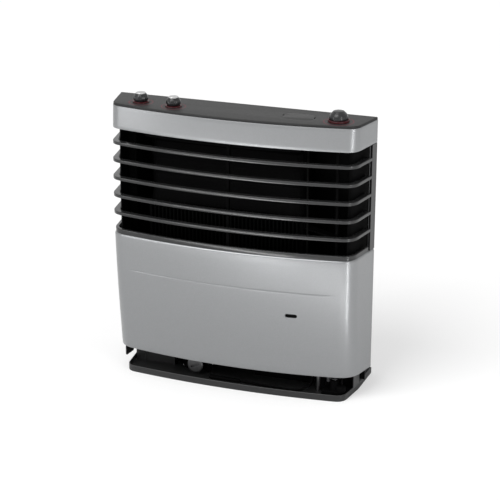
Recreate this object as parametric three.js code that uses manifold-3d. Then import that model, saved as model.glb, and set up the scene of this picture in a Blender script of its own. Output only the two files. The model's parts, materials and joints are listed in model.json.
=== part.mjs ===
// Wall mounted gas heater: floor tray, recess box, finned heat exchanger, burner, valve with its
// control rod, and a bowed cladding with a five-slat louvre grille and three knobs on top.
// Millimetres, +Z up. The origin is on the floor, in the wall plane, at mid width. The front looks
// along -Y, and the recess box lies behind the wall plane, at +Y.

import * as THREE from 'three';
import Module from 'manifold-3d';
import { mergeVertices } from 'three/addons/utils/BufferGeometryUtils.js';

// ---------------------------------------------------------------- driving dimensions

// Cladding: plan outline and front profile
const CLADDING_WIDTH = 480;        // at the wall, at the top
const SIDE_TAPER = 0.0064;         // half width lost for each millimetre of height below the top
const SIDE_LEAN = 0.225;           // how fast a side leans in from the wall
const SIDE_CURVE = 0.0006;         // and how fast that lean grows
const DEPTH_TOP = 96.8;            // front depth at mid width: at the cap,
const DEPTH_MIDDLE = 105.3;        // at the foot of the grille,
const DEPTH_BOTTOM = 88.6;         // and at the foot of the lower panel
const FRONT_BOW = 24;              // how far mid width stands proud of the corners
const CORNER_TOP = 16;             // length of the rounding beside each corner, at the cap
const CORNER_BOTTOM = 26;          // and at the foot of the panel
const WALL = 2.5;                  // moulding wall of the cladding
const LIP = 9;                     // inward lips of the cladding, from its outer face
const SEAT = 0.3;                  // gap between pieces that rest on each other

// Heights above the floor
const TRAY_HEIGHT = 12;
const PANEL_FOOT = 46;
const PANEL_HEIGHT = 224.5;
const GRILLE_HEIGHT = 192.5;
const BAND_HEIGHT = 40.6;
const CAP_THICKNESS = 4.4;         // with the gap to the band
const GRILLE_FOOT = PANEL_FOOT + PANEL_HEIGHT;
const GRILLE_HEAD = GRILLE_FOOT + GRILLE_HEIGHT;
const BAND_HEAD = GRILLE_HEAD + BAND_HEIGHT;
const CAP_HEAD = BAND_HEAD + CAP_THICKNESS;

// Floor tray
const TRAY_MARGIN = 25;            // how far the cladding stands out beyond the tray's side
const TRAY_WIDTH = CLADDING_WIDTH - 2 * TRAY_MARGIN;
const TRAY_HALF = TRAY_WIDTH / 2;
const TRAY_LEAN = 0.12;            // how fast its sides lean in
const LEAN_START = 3;              // from this far in front of the wall
const TRAY_SHOULDER = TRAY_HALF - 8; // half width at the front corners
const TRAY_REAR = 75;
const TRAY_FRONT = 81.5;
const TRAY_BOW = 14.5;
const TRAY_CORNER = 17;
const TRAY_FLOOR = 3;
const TRAY_RIM = 2;
const AIR_INLET_RADIUS = 28;

// Recess box
const SHEET = 1.5;
const BOX_RISE = 17;               // top of the recess above the grille's head
const BOX_HEAD = GRILLE_HEAD + BOX_RISE;
const FLANGE_RISE = 16;            // flange above the box
const FLANGE_CLEARANCE = 0.8;      // flange edge to the lips of the cladding
const FLANGE_FOOT = 20;
const FAN_PORT_RADIUS = 45;
const FAN_PORT_HEIGHT = 300;
const FAN_PORT_RIM = 7;
const BRACKET_SIDE = 220;          // side gussets: middle of their sheet
const BRACKET_HEAD = 130;
const BRACKET_FOOT = 17;
const BRACKET_TAB = { rear: 13, head: 60 }; // the part that hangs below, clear of the flange
const CLIP_FOOT = 190;
const CLIP_HEIGHT = 26;

// Grille
const SLAT_COUNT = 5;
const SLAT_DEPTH = 11.5;
const SLAT_THICKNESS = 5.6;
const SLAT_ROUNDING = 1.1;
const SLAT_PITCH = GRILLE_HEIGHT / (SLAT_COUNT + 1);
const SLAT_DROP = 3;               // a slat's lower edge lies this far above its share of the height
const POST_WIDTH = 16;
const SCREEN_REACH = 60;           // dark wall of the grille behind the ends of the slats
const SCREEN_WALL = 1.5;
const RAIL_HEIGHT = 8;
const RIB_WIDTH = 5;
const RIB_DEPTH = 7;

// Lower panel
const PANEL_ROUNDING = 4.5;
const WINDOW_WIDTH = 21.8;
const WINDOW_HEIGHT = 7;
const WINDOW_SIDE = 118;
const WINDOW_UP = 161;
const WINDOW_MARGIN = 4;

// Cap
const CAP_CHAMFER = 1.4;
const SKIRT_DROP = 11;
const SPINDLE_RADIUS = 3;
const RUNNING_GAP = 0.5;           // round a spindle that turns

// Knobs
const KNOB_LINE = 51;              // distance of the outer knobs in front of the wall
const KNOB_STEP = 6.5;             // the second fan knob stands this much nearer to the front
const FAN_KNOB_INSET = 62;         // from the cladding's side
const FAN_KNOB_PITCH = 64.5;
const FIRST_FAN_KNOB = -CLADDING_WIDTH / 2 + FAN_KNOB_INSET;
const FAN_KNOB_PLACES = [
  { x: FIRST_FAN_KNOB, y: -KNOB_LINE },
  { x: FIRST_FAN_KNOB + FAN_KNOB_PITCH, y: -KNOB_LINE - KNOB_STEP },
];
const FAN_KNOB_RADIUS = 13.2;
const FAN_KNOB_HEIGHT = 13.4;
const FAN_KNOB_CAP_RADIUS = 8.8;
const FAN_KNOB_CAP_HEIGHT = 2;
const FAN_KNOB_LOBES = 12;
const THERMOSTAT_INSET = 54;
const THERMOSTAT_SIDE = CLADDING_WIDTH / 2 - THERMOSTAT_INSET;
const THERMOSTAT_KNOB_RADIUS = 16.4;
const THERMOSTAT_KNOB_HEIGHT = 19.4;
const THERMOSTAT_LOBES = 14;
const LOBE_SWELL = 0.4;
const PRESS_TRAVEL = 4;
const RING_HEIGHT = 2;
const RING_WIDTH = 1.5;            // shown beyond the knob
const RING_UNDERLAP = 3.6;         // of a fan knob's ring, which lies under its knob
const KNOB_BORE_DEPTH = 8;
const CONTROL_HEIGHT = 16;
const CONTROL_RADIUS = 12;
const CONTROL_NECK = 6;

// Battery compartment
const CELL_RADIUS = 7.1;
const CELL_LENGTH = 50;
const CELL_CLEARANCE = 0.5;
const LID_TO_THERMOSTAT = 73;
const LID_SIDE = THERMOSTAT_SIDE - LID_TO_THERMOSTAT;
const LID_LINE = 45;               // in front of the wall
const LID_LEDGE = 1.4;
const LID_GAP = 0.5;
const LID_THICKNESS = 2.2;
const LID_CORNER = 13;
const LID_MARGIN_ENDS = 2.2;
const LID_MARGIN_SIDES = 2.6;
const CELL_HEADROOM = 8;
const WELL_WALL = 1.5;
const WELL_CORNER = 9;

// Heat exchanger
const EXCHANGER_LEFT_MARGIN = 43;  // from the tray's side
const EXCHANGER_RIGHT_MARGIN = 97; // leaves the bay of the valve
const EXCHANGER_LEFT = -TRAY_HALF + EXCHANGER_LEFT_MARGIN;
const EXCHANGER_RIGHT = TRAY_HALF - EXCHANGER_RIGHT_MARGIN;
const EXCHANGER_FRONT = 35;        // in front of the wall, without the fins
const EXCHANGER_REAR = 58;
const EXCHANGER_FOOT = 90;
const FIN_RISE = 54.5;             // top of the fins above the grille's foot
const FIN_HEAD = GRILLE_FOOT + FIN_RISE;
const HOOD_DROP = 17;              // top of the hood below the grille's head
const HOOD_HEAD = GRILLE_HEAD - HOOD_DROP;
const FIN_PITCH = 7.25;
const FIN_DEPTH = 10;
const FIN_THICKNESS = 2.6;
const CASTING_WALL = 6;
const PLATE = 5.7;                 // combustion floor

// Burner
const HOUSING_WIDTH = 109;
const HOUSING_OVERHANG = 13;       // beyond the exchanger's right end
const HOUSING_RIGHT = EXCHANGER_RIGHT + HOUSING_OVERHANG;
const HOUSING_LEFT = HOUSING_RIGHT - HOUSING_WIDTH;
const HOUSING_MIDDLE = (HOUSING_LEFT + HOUSING_RIGHT) / 2;
const HOUSING_REAR = 50;
const COVER_LINE = 13;             // front of the burner's cover, in front of the wall
const HOUSING_CENTRE_Y = (HOUSING_REAR - COVER_LINE) / 2;
const BAFFLE_LINE = 22;            // front of the baffle, in front of the wall
const BAFFLE_OVERLAP = 39;
const BAFFLE_EDGE = EXCHANGER_LEFT + BAFFLE_OVERLAP;
const BAFFLE_SEAM = EXCHANGER_LEFT - 17;
const FRAME_BAR = 6;
const BURNER_RADIUS = 12;
const BURNER_UP = 112;
const BURNER_SLOTS = 14;
const BURNER_LEFT = EXCHANGER_LEFT + CASTING_WALL + 14;
const BURNER_RIGHT = EXCHANGER_RIGHT - CASTING_WALL - 16;
const VENTURI_SIDE = EXCHANGER_RIGHT - 42;
const VENTURI_RADIUS = 9;
const BURNER_HOLE = 13;            // in the combustion floor, under the burner's flange
const BURNER_FLANGE = 19;
const SIGHT_RADIUS = 8;
const SIGHT_SIDE = EXCHANGER_RIGHT - 5;
const SIGHT_UP = 27;
const CABLE_PORT = { x: EXCHANGER_RIGHT - 58, z: 50 };
const ELECTRODE_RADIUS = 4;
const ELECTRODE_SIDE = EXCHANGER_RIGHT - 72;
const ELECTRODE_BACK = -2;
const SENSOR_SIDE = EXCHANGER_RIGHT - 14;

// Flue
const FLUE_INSET = 77;
const FLUE_SIDE = EXCHANGER_LEFT + FLUE_INSET;
const FLUE_BACK = -2;
const FLUE_RADIUS = 27;
const FLUE_WALL = 2;
const FLUE_COLLAR = 30;
const DEFLECTOR_SIDE = 50;         // front edge of the deflector at its ends
const DEFLECTOR_BOW = 14;
const DEFLECTOR_LIP = 7;
const DEFLECTOR_GAP = 4;
const CLAMP_UP = 27;
const CLAMP_BAND = 1.5;
const CLAMP_SCREW_RADIUS = 15;

// Gas valve and rod
const VALVE_BODY = {
  left: THERMOSTAT_SIDE - 22, right: THERMOSTAT_SIDE + 16, front: 59, back: 26, head: 14,
};
const VALVE_SPINDLE_HEAD = 34;
const VALVE_BORE_FOOT = 8;
const ROD_COLLAR_RADIUS = 6.5;
const ROD_COLLAR_HEIGHT = 6;
const SPRING_RADIUS = 5.6;
const SPRING_WIRE = 0.7;
const SPRING_TURNS = 5;
const SPRING_LENGTH = 18;
const WASHER_HEIGHT = 1.5;
const PIPE_RADIUS = 4;
const INLET_SIDE = THERMOSTAT_SIDE - 34;
const INLET_BACK = -38;
const CAPILLARY_RADIUS = 1.5;
const GUIDE_UP = FIN_HEAD - 5;
const HEAD_SIDE = THERMOSTAT_SIDE + 12;
const HEAD_RADIUS = 9;
const HEAD_TOP = 25;
const INLET_PORT = { x: THERMOSTAT_SIDE - 16, y: -35, head: 22 };
const OUTLET_PORT = { x: THERMOSTAT_SIDE - 12, z: 9 };
const INJECTOR_UP = 22;
const BULB_RADIUS = 3.5;
const BULB_LENGTH = 60;
const BULB_LINE = 58;              // in front of the wall
const BULB_INSET = 108;            // from the exchanger's right end
const CABLE_RADIUS = 2;
const CABLE_LINE = 56;
const IGNITER_HEIGHT = 20;
const IGNITER_TERMINAL = 18;

// ---------------------------------------------------------------- solids and booleans

const wasm = await Module();
wasm.setup();

const WELD = 1e-4;
const group = new THREE.Group();

function weld(geometry) {
  const bare = new THREE.BufferGeometry();
  bare.setAttribute('position', geometry.getAttribute('position').clone());
  if (geometry.index) bare.setIndex(geometry.index.clone());
  const merged = mergeVertices(bare, WELD);
  const source = merged.index.array;
  const kept = [];
  for (let i = 0; i < source.length; i += 3) {
    const [a, b, c] = [source[i], source[i + 1], source[i + 2]];
    if (a !== b && b !== c && c !== a) kept.push(a, b, c);
  }
  merged.setIndex(kept);
  return merged;
}

function volumeOf(geometry) {
  const position = geometry.getAttribute('position');
  const order = geometry.index.array;
  const [a, b, c] = [new THREE.Vector3(), new THREE.Vector3(), new THREE.Vector3()];
  let sum = 0;
  for (let i = 0; i < order.length; i += 3) {
    a.fromBufferAttribute(position, order[i]);
    b.fromBufferAttribute(position, order[i + 1]);
    c.fromBufferAttribute(position, order[i + 2]);
    sum += a.dot(b.cross(c)) / 6;
  }
  return sum;
}

// A welded copy whose faces point outwards.
function closed(geometry) {
  const merged = weld(geometry);
  if (volumeOf(merged) < 0) {
    const order = merged.index.array;
    for (let i = 0; i < order.length; i += 3) {
      [order[i], order[i + 1]] = [order[i + 1], order[i]];
    }
  }
  return merged;
}

function toManifold(geometry) {
  const merged = closed(geometry);
  return new wasm.Manifold(new wasm.Mesh({
    numProp: 3,
    vertProperties: new Float32Array(merged.getAttribute('position').array),
    triVerts: new Uint32Array(merged.index.array),
  }));
}

function toGeometry(manifold) {
  const mesh = manifold.getMesh();
  const geometry = new THREE.BufferGeometry();
  geometry.setAttribute('position', new THREE.BufferAttribute(mesh.vertProperties, 3));
  geometry.setIndex(new THREE.BufferAttribute(mesh.triVerts, 1));
  return geometry;
}

function combine(parts, step) {
  const solids = parts.map((part) => toManifold(part));
  return toGeometry(solids.reduce(step));
}

const join = (...parts) => combine(parts, (whole, part) => whole.add(part));
const cut = (...parts) => combine(parts, (whole, part) => whole.subtract(part));

// ---------------------------------------------------------------- simple forms

// A block between two corners.
function block(x0, x1, y0, y1, z0, z1) {
  const geometry = new THREE.BoxGeometry(x1 - x0, y1 - y0, z1 - z0);
  return geometry.translate((x0 + x1) / 2, (y0 + y1) / 2, (z0 + z1) / 2);
}

// A plan outline raised from z0 to z1.
function prism(shape, z0, z1, curveSegments = 3) {
  const geometry = new THREE.ExtrudeGeometry(shape, { depth: z1 - z0, bevelEnabled: false, curveSegments });
  return geometry.translate(0, 0, z0);
}

function polygon(points) {
  return new THREE.Shape(points.map(([x, y]) => new THREE.Vector2(x, y)));
}

// A revolved form on a vertical axis: profile points are [radius, height].
function turned(profile, segments = 20) {
  const points = profile.map(([radius, height]) => new THREE.Vector2(radius, height));
  return new THREE.LatheGeometry(points, segments).rotateX(Math.PI / 2);
}

function rod(radius, z0, z1, segments = 14) {
  return turned([[0, z0], [radius, z0], [radius, z1], [0, z1]], segments);
}

// A round bar along Y from y0 to y1.
function crossBar(radius, x, y0, y1, z, segments = 16) {
  return rod(radius, 0, y1 - y0, segments).rotateX(-Math.PI / 2).translate(x, y0, z);
}

function roundedRectangle(length, width, radius) {
  const [x, y] = [length / 2, width / 2];
  const shape = new THREE.Shape();
  shape.moveTo(-x + radius, -y);
  shape.lineTo(x - radius, -y);
  shape.absarc(x - radius, -y + radius, radius, -Math.PI / 2, 0);
  shape.lineTo(x, y - radius);
  shape.absarc(x - radius, y - radius, radius, 0, Math.PI / 2);
  shape.lineTo(-x + radius, y);
  shape.absarc(-x + radius, y - radius, radius, Math.PI / 2, Math.PI);
  shape.lineTo(-x, -y + radius);
  shape.absarc(-x + radius, -y + radius, radius, Math.PI, Math.PI * 1.5);
  return shape;
}

// A round tube along a smooth curve through the points.
function pipe(points, radius, sides = 8, stepLength = 7) {
  const curve = new THREE.CatmullRomCurve3(points.map((p) => new THREE.Vector3(...p)), false, 'centripetal');
  const section = new THREE.Shape();
  section.absarc(0, 0, radius, 0, Math.PI * 2);
  const steps = Math.ceil(curve.getLength() / stepLength);
  return new THREE.ExtrudeGeometry(section, {
    steps, extrudePath: curve, curveSegments: sides / 2, bevelEnabled: false,
  });
}

// Closed loops of equal length skinned one to the next, with flat ends.
function skin(sections, capPoints) {
  const count = capPoints.length;
  const last = (sections.length - 1) * count;
  const order = [];
  for (let i = 0; i + 1 < sections.length; i += 1) {
    for (let j = 0; j < count; j += 1) {
      const [a, b] = [i * count + j, i * count + (j + 1) % count];
      order.push(a, b, b + count, a, b + count, a + count);
    }
  }
  const turning = Math.sign(THREE.ShapeUtils.area(capPoints));
  for (const [a, b, c] of THREE.ShapeUtils.triangulateShape(capPoints, [])) {
    const way = Math.sign(THREE.ShapeUtils.area([capPoints[a], capPoints[b], capPoints[c]]));
    const [p, q] = way === turning ? [b, c] : [c, b];
    order.push(a, q, p, last + a, last + p, last + q);
  }
  const geometry = new THREE.BufferGeometry().setFromPoints(sections.flat());
  geometry.setIndex(order);
  return geometry;
}

// ---------------------------------------------------------------- cladding outline

// Front depth at mid width, a quadratic through its three stated heights.
function frontDepth(z) {
  const knots = [[PANEL_FOOT, DEPTH_BOTTOM], [GRILLE_FOOT, DEPTH_MIDDLE], [BAND_HEAD, DEPTH_TOP]];
  return knots.reduce((sum, [height, depth], i) => {
    const others = knots.filter((knot, j) => j !== i);
    return sum + others.reduce((share, [other]) => share * (z - other) / (height - other), depth);
  }, 0);
}

const rearHalfWidth = (z) => CLADDING_WIDTH / 2 - SIDE_TAPER * (BAND_HEAD - z);

function sidePoint(depth, z) {
  const lean = SIDE_LEAN * depth + SIDE_CURVE * depth * depth;
  return new THREE.Vector2(rearHalfWidth(z) - lean, -depth);
}

function frontPoint(x, z, cornerX) {
  return new THREE.Vector2(x, -(frontDepth(z) - FRONT_BOW * (x / cornerX) ** 2));
}

// The sharp corner and the two ends of its rounding, right-hand side.
function cornerAt(z) {
  const depth = frontDepth(z) - FRONT_BOW;
  const sharp = sidePoint(depth, z);
  const share = (z - PANEL_FOOT) / (BAND_HEAD - PANEL_FOOT);
  const rounding = THREE.MathUtils.lerp(CORNER_BOTTOM, CORNER_TOP, share);
  return {
    sharp,
    front: frontPoint(sharp.x - rounding, z, sharp.x),
    side: sidePoint(depth - rounding, z),
  };
}

// A point of the right half outline: 0 is mid width, 1 the corner's start, 2 its end, 3 the wall.
function halfOutline(place, z) {
  const corner = cornerAt(z);
  if (place <= 1) return frontPoint(corner.front.x * place, z, corner.sharp.x);
  if (place >= 2) return sidePoint(-corner.side.y * (3 - place), z);
  const t = place - 1;
  const rounding = new THREE.QuadraticBezierCurve(corner.front, corner.sharp, corner.side);
  return rounding.getPoint(t);
}

// A point on the cladding, set in from its outer face. Place runs from -3, left, to 3, right.
function outlinePoint(place, inset, z) {
  const nudge = 0.002;
  const reach = Math.abs(place);
  const point = halfOutline(reach, z);
  const before = halfOutline(Math.max(reach - nudge, 0), z);
  const after = halfOutline(Math.min(reach + nudge, 3), z);
  const along = after.sub(before).normalize();
  if (reach >= 3) point.x -= inset / along.y;
  else if (reach === 0) point.y += inset;
  else point.add(new THREE.Vector2(-along.y, along.x).multiplyScalar(inset));
  return new THREE.Vector3(Math.sign(place) * point.x, point.y, z);
}

// Places are functions of height, so that a piece can end at a fixed distance from the wall.
const fixedPlace = (place) => () => place;
const placeFromWall = (depth) => (z) => 3 - depth / -cornerAt(z).side.y;
const placeAcross = (x) => (z) => x / cornerAt(z).front.x;
const mirrored = (place) => (z) => -place(z);

const FRONT_PLACES = [0, 0.2, 0.4, 0.6, 0.8, 1];
const CORNER_PLACES = [1.25, 1.5, 1.75, 2];
const INNER_PLACES = [...FRONT_PLACES, ...CORNER_PLACES].map(fixedPlace);

// The places of a piece that runs round the front to a distance from the wall on both sides.
function aroundFront(depthFromWall) {
  const end = placeFromWall(depthFromWall);
  const right = [...INNER_PLACES, (z) => (2 + end(z)) / 2, end];
  const left = right.slice(1).reverse().map(mirrored);
  return [...left, ...right];
}

// How far in front of the wall a side distance still lies inside the outline, set in by an inset.
function clearDepth(x, inset, z) {
  let place = 3;
  while (outlinePoint(place, inset, z).x > x) place -= 0.02;
  return -outlinePoint(place, inset, z).y;
}

// A profile of [inset, height] points carried along the cladding's outline.
function swept(profile, places) {
  const sections = places.map((place) => profile.map(([inset, z]) => outlinePoint(place(z), inset, z)));
  return skin(sections, profile.map(([inset, z]) => new THREE.Vector2(inset, z)));
}

// A flat plate that fills the outline, from rings of [inset, height].
function filled(rings) {
  const places = aroundFront(0);
  const sections = rings.map(([inset, z]) => places.map((place) => outlinePoint(place(z), inset, z)));
  return skin(sections, sections[0].map((p) => new THREE.Vector2(p.x, p.y)));
}

// ---------------------------------------------------------------- finishes

function finish(color, roughness, metalness) {
  return new THREE.MeshStandardMaterial({ color, roughness, metalness });
}

const FINISHES = {
  silver: finish(0x99999b, 0.4, 0.6),
  darkPlastic: finish(0x4b4b4c, 0.6, 0),
  capPlastic: finish(0x585858, 0.55, 0),
  black: finish(0x161616, 0.5, 0),
  darkSheet: finish(0x3a3b3d, 0.55, 0.3),
  casting: finish(0x2a2a2b, 0.75, 0.3),
  zincSheet: finish(0x8d9094, 0.45, 0.8),
  aluminium: finish(0x9b9b9a, 0.4, 0.8),
  brass: finish(0xb08d4a, 0.35, 0.9),
  steel: finish(0x8a8a8c, 0.35, 0.9),
  ceramic: finish(0xe8e4da, 0.4, 0),
  redGlow: finish(0x8f0f1c, 0.3, 0),
  cellWrap: finish(0x30343a, 0.4, 0.2),
  cableJacket: finish(0x2c2c2c, 0.6, 0),
};

function add(name, geometry, material) {
  const mesh = new THREE.Mesh(closed(geometry), material);
  mesh.name = name;
  group.add(mesh);
  return mesh;
}

// ---------------------------------------------------------------- floor tray

const STAND = TRAY_FLOOR + SEAT;          // where pieces stand on the tray's floor

// Bowed front, rounded front corners, sides that lean in from the wall.
function trayOutline(inset) {
  const half = TRAY_HALF - inset;
  const rear = TRAY_REAR - inset;
  const straight = TRAY_SHOULDER - TRAY_CORNER;
  const bow = TRAY_BOW / TRAY_SHOULDER ** 2;
  const front = -(TRAY_FRONT - inset - bow * straight ** 2);
  const slope = 2 * bow * straight;
  const sideAt = (y) => half + TRAY_LEAN * (y + LEAN_START);
  const cornerX = sideAt(front - slope * straight) / (1 - TRAY_LEAN * slope); // sharp corner
  const cornerY = front + slope * (cornerX - straight);
  const turn = cornerY + TRAY_CORNER;
  const shape = new THREE.Shape();
  shape.moveTo(-half, rear);
  shape.lineTo(-half, -LEAN_START);
  shape.lineTo(-sideAt(turn), turn);
  shape.quadraticCurveTo(-cornerX, cornerY, -straight, front);
  shape.quadraticCurveTo(0, front - slope * straight, straight, front);
  shape.quadraticCurveTo(cornerX, cornerY, sideAt(turn), turn);
  shape.lineTo(half, -LEAN_START);
  shape.lineTo(half, rear);
  return shape;
}

function basePlate() {
  const above = 1;
  const flueHole = rod(FLUE_RADIUS + RUNNING_GAP, -above, TRAY_HEIGHT, 24).translate(FLUE_SIDE, FLUE_BACK, 0);
  const inletHole = rod(PIPE_RADIUS + RUNNING_GAP, -above, TRAY_HEIGHT).translate(INLET_SIDE, INLET_BACK, 0);
  return cut(
    prism(trayOutline(0), 0, TRAY_HEIGHT, 8),
    prism(trayOutline(TRAY_RIM), TRAY_FLOOR, TRAY_HEIGHT + above, 8),
    flueHole,
    inletHole,
    airInletHole(-above, TRAY_HEIGHT),
  );
}

function airInletHole(z0, z1) {
  return rod(AIR_INLET_RADIUS, z0, z1, 24).translate(HOUSING_MIDDLE, HOUSING_CENTRE_Y, 0);
}

// ---------------------------------------------------------------- recess box

const BOX_HALF = TRAY_HALF - TRAY_RIM - SEAT;
const BOX_REAR = TRAY_REAR - TRAY_RIM - SEAT;
const LIP_SLANT = Math.hypot(1, SIDE_LEAN);
const FLANGE_HALF = rearHalfWidth(PANEL_FOOT) - LIP * LIP_SLANT - FLANGE_CLEARANCE;

function installationBox() {
  const inner = BOX_HALF - SHEET;
  const over = 5;
  const shell = cut(
    block(-BOX_HALF, BOX_HALF, -SHEET, BOX_REAR, STAND, BOX_HEAD),
    block(-inner, inner, -over, BOX_REAR - SHEET, -over, BOX_HEAD - SHEET),
  );
  const flange = cut(
    block(-FLANGE_HALF, FLANGE_HALF, -SHEET, 0, FLANGE_FOOT, BOX_HEAD + FLANGE_RISE),
    block(-inner, inner, -over, over, -over, BOX_HEAD - SHEET),
  );
  const port = crossBar(FAN_PORT_RADIUS, 0, BOX_REAR - over, BOX_REAR + over, FAN_PORT_HEIGHT, 28);
  const slotAlong = 12;
  const slotTall = 5;
  const slot = block(-BOX_HALF - over, BOX_HALF + over, 0, slotAlong, 0, slotTall);
  return cut(join(shell, flange), port, slot.translate(0, TRAY_REAR / 3, FLANGE_FOOT + slotTall));
}

function fanPortCover() {
  const back = BOX_REAR + SEAT;
  const rim = FAN_PORT_RADIUS + FAN_PORT_RIM;
  const dish = 6;
  const bead = 3;
  const profile = [
    [0, dish], [FAN_PORT_RADIUS - bead - SHEET, dish], [FAN_PORT_RADIUS - bead, SHEET], [rim, SHEET],
    [rim, 0], [FAN_PORT_RADIUS - bead - SHEET, 0], [FAN_PORT_RADIUS - bead - 2 * SHEET, dish - SHEET],
    [0, dish - SHEET],
  ];
  const plate = turned(profile, 20).rotateX(Math.PI / 2);
  return plate.translate(0, back + SHEET, FAN_PORT_HEIGHT);
}

// Side gusset in front of the flange; a tab of it hangs below the panel.
function bracket(side) {
  const front = -clearDepth(BRACKET_SIDE + SHEET / 2, WALL + 3 * SEAT, PANEL_FOOT);
  const seat = -SHEET - SEAT;
  const foot = BRACKET_FOOT;
  const { rear, head } = BRACKET_TAB;
  const outline = [
    [front, foot + 4], [front + 3, foot + 2], [-rear - 2, foot], [-rear, foot + 2], [-rear, head],
    [seat, head], [seat, BRACKET_HEAD], [front, BRACKET_HEAD],
  ];
  const plate = new THREE.ExtrudeGeometry(polygon(outline), { depth: SHEET, bevelEnabled: false });
  plate.rotateX(Math.PI / 2).rotateZ(Math.PI / 2);
  return plate.translate(side * BRACKET_SIDE - SHEET / 2, 0, 0);
}

// Spring clip from the flange's front to the inside of the cladding.
function claddingClip(side) {
  const [low, high] = [CLIP_FOOT, CLIP_FOOT + CLIP_HEIGHT];
  const front = -SHEET - SEAT;
  const leg = 16;
  const seatInset = WALL + SEAT;
  const z = (low + high) / 2;
  const at = (depth, inset) => {
    const p = outlinePoint(placeFromWall(depth)(z), inset, z);
    return [side * p.x, p.y];
  };
  const [outerFoot, outerHead] = [at(-front + SHEET, seatInset), at(-front + leg, seatInset)];
  const [innerHead, innerFoot] = [at(-front + leg, seatInset + SHEET), at(-front + SHEET, seatInset + SHEET)];
  const points = [
    [side * (FLANGE_HALF - leg), front], [outerFoot[0], front], outerFoot, outerHead, innerHead,
    [innerFoot[0], front - SHEET], [side * (FLANGE_HALF - leg), front - SHEET],
  ];
  return prism(polygon(points), low, high);
}

// ---------------------------------------------------------------- cladding

function lowerPanel() {
  const foot = PANEL_FOOT;
  const head = GRILLE_FOOT;
  const r = PANEL_ROUNDING;
  const levels = [0.2, 0.4, 0.6, 0.8].map((share) => THREE.MathUtils.lerp(foot, head - r, share));
  const profile = [[0.8, foot], [0, foot + 0.8]];
  for (const z of levels) profile.push([0, z]);
  for (const angle of [0, 30, 60, 90].map(THREE.MathUtils.degToRad)) {
    profile.push([r - r * Math.cos(angle), head - r + r * Math.sin(angle)]);
  }
  profile.push([LIP, head], [LIP, head - WALL], [WALL + 1, head - WALL], [WALL, head - WALL - 1.5]);
  for (const z of levels.slice().reverse()) profile.push([WALL, z]);
  profile.push([WALL, foot]);
  const slot = prism(roundedRectangle(WINDOW_WIDTH, WINDOW_HEIGHT, WINDOW_HEIGHT / 2), 0, DEPTH_MIDDLE);
  slot.rotateX(Math.PI / 2).translate(WINDOW_SIDE, -DEPTH_MIDDLE / 3, WINDOW_UP);
  return cut(swept(profile, aroundFront(0)), slot);
}

function pilotWindow() {
  const inner = WALL + 2 * SEAT;
  const outer = inner + 2;
  const half = WINDOW_WIDTH / 2 + WINDOW_MARGIN;
  const tall = WINDOW_HEIGHT / 2 + WINDOW_MARGIN;
  const [low, high] = [WINDOW_UP - tall, WINDOW_UP + tall];
  const profile = [[inner, low], [inner, high], [outer, high], [outer, low]];
  const places = [-half, 0, half].map((x) => placeAcross(WINDOW_SIDE + x));
  return swept(profile, places);
}

function bottomRail() {
  const foot = GRILLE_FOOT + SEAT;
  const head = GRILLE_FOOT + RAIL_HEIGHT;
  const set = PANEL_ROUNDING;
  const back = set + WALL + 3;
  const profile = [[set, foot], [set, head - 1], [set + 1, head], [back, head], [back, foot]];
  return swept(profile, aroundFront(POST_WIDTH + SEAT));
}

// An upright wall of the grille between two insets, over a stretch of the cladding's side.
function upright(side, [outer, inner], [near, far]) {
  const [foot, head] = [GRILLE_FOOT + SEAT, GRILLE_HEAD - SEAT];
  const levels = [0, 0.25, 0.5, 0.75, 1].map((share) => THREE.MathUtils.lerp(foot, head, share));
  const profile = [...levels.map((z) => [outer, z]), ...levels.reverse().map((z) => [inner, z])];
  const places = [far, (near + far) / 2, near].map(placeFromWall);
  return swept(profile, side > 0 ? places : places.map(mirrored));
}

// Post at the wall, and the dark wall that it carries behind the ends of the slats.
function grillePost(side) {
  const thick = WALL + 1.5;
  const screen = SLAT_DEPTH + 2 * SEAT;
  const root = SHEET + 2 * SEAT + (screen + SCREEN_WALL) * SIDE_LEAN / LIP_SLANT;
  return join(
    upright(side, [0, thick], [0, POST_WIDTH]),
    upright(side, [thick - 1, screen + 1], [root, root + SCREEN_WALL]),
    upright(side, [screen, screen + SCREEN_WALL], [root, SCREEN_REACH]),
  );
}

function slat(number) {
  const low = GRILLE_FOOT + number * SLAT_PITCH + SLAT_DROP;
  const high = low + SLAT_THICKNESS;
  const r = SLAT_ROUNDING;
  const profile = [
    [r, low], [0, low + r], [0, high - r], [r, high], [SLAT_DEPTH, high - r / 2], [SLAT_DEPTH, low + r / 2],
  ];
  return swept(profile, aroundFront(POST_WIDTH + SEAT));
}

function grilleRib() {
  const [foot, head] = [GRILLE_FOOT + SEAT, GRILLE_HEAD - SEAT];
  const [front, back] = [SLAT_DEPTH + SEAT, SLAT_DEPTH + SEAT + RIB_DEPTH];
  const profile = [[front, foot]];
  for (const share of [0.25, 0.5, 0.75]) profile.push([front, THREE.MathUtils.lerp(foot, head, share)]);
  profile.push([front, head], [back, head], [back, foot]);
  return swept(profile, [-RIB_WIDTH / 2, RIB_WIDTH / 2].map(placeAcross));
}

function trimBand() {
  const [foot, head] = [GRILLE_HEAD, BAND_HEAD];
  const middle = (foot + head) / 2;
  const profile = [
    [1, foot], [0, foot + 1], [0, middle], [0, head - 0.8], [0.8, head], [WALL, head], [WALL, middle],
    [WALL, foot + WALL], [LIP, foot + WALL], [LIP, foot],
  ];
  return swept(profile, aroundFront(0));
}

// ---------------------------------------------------------------- cap and battery compartment

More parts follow.
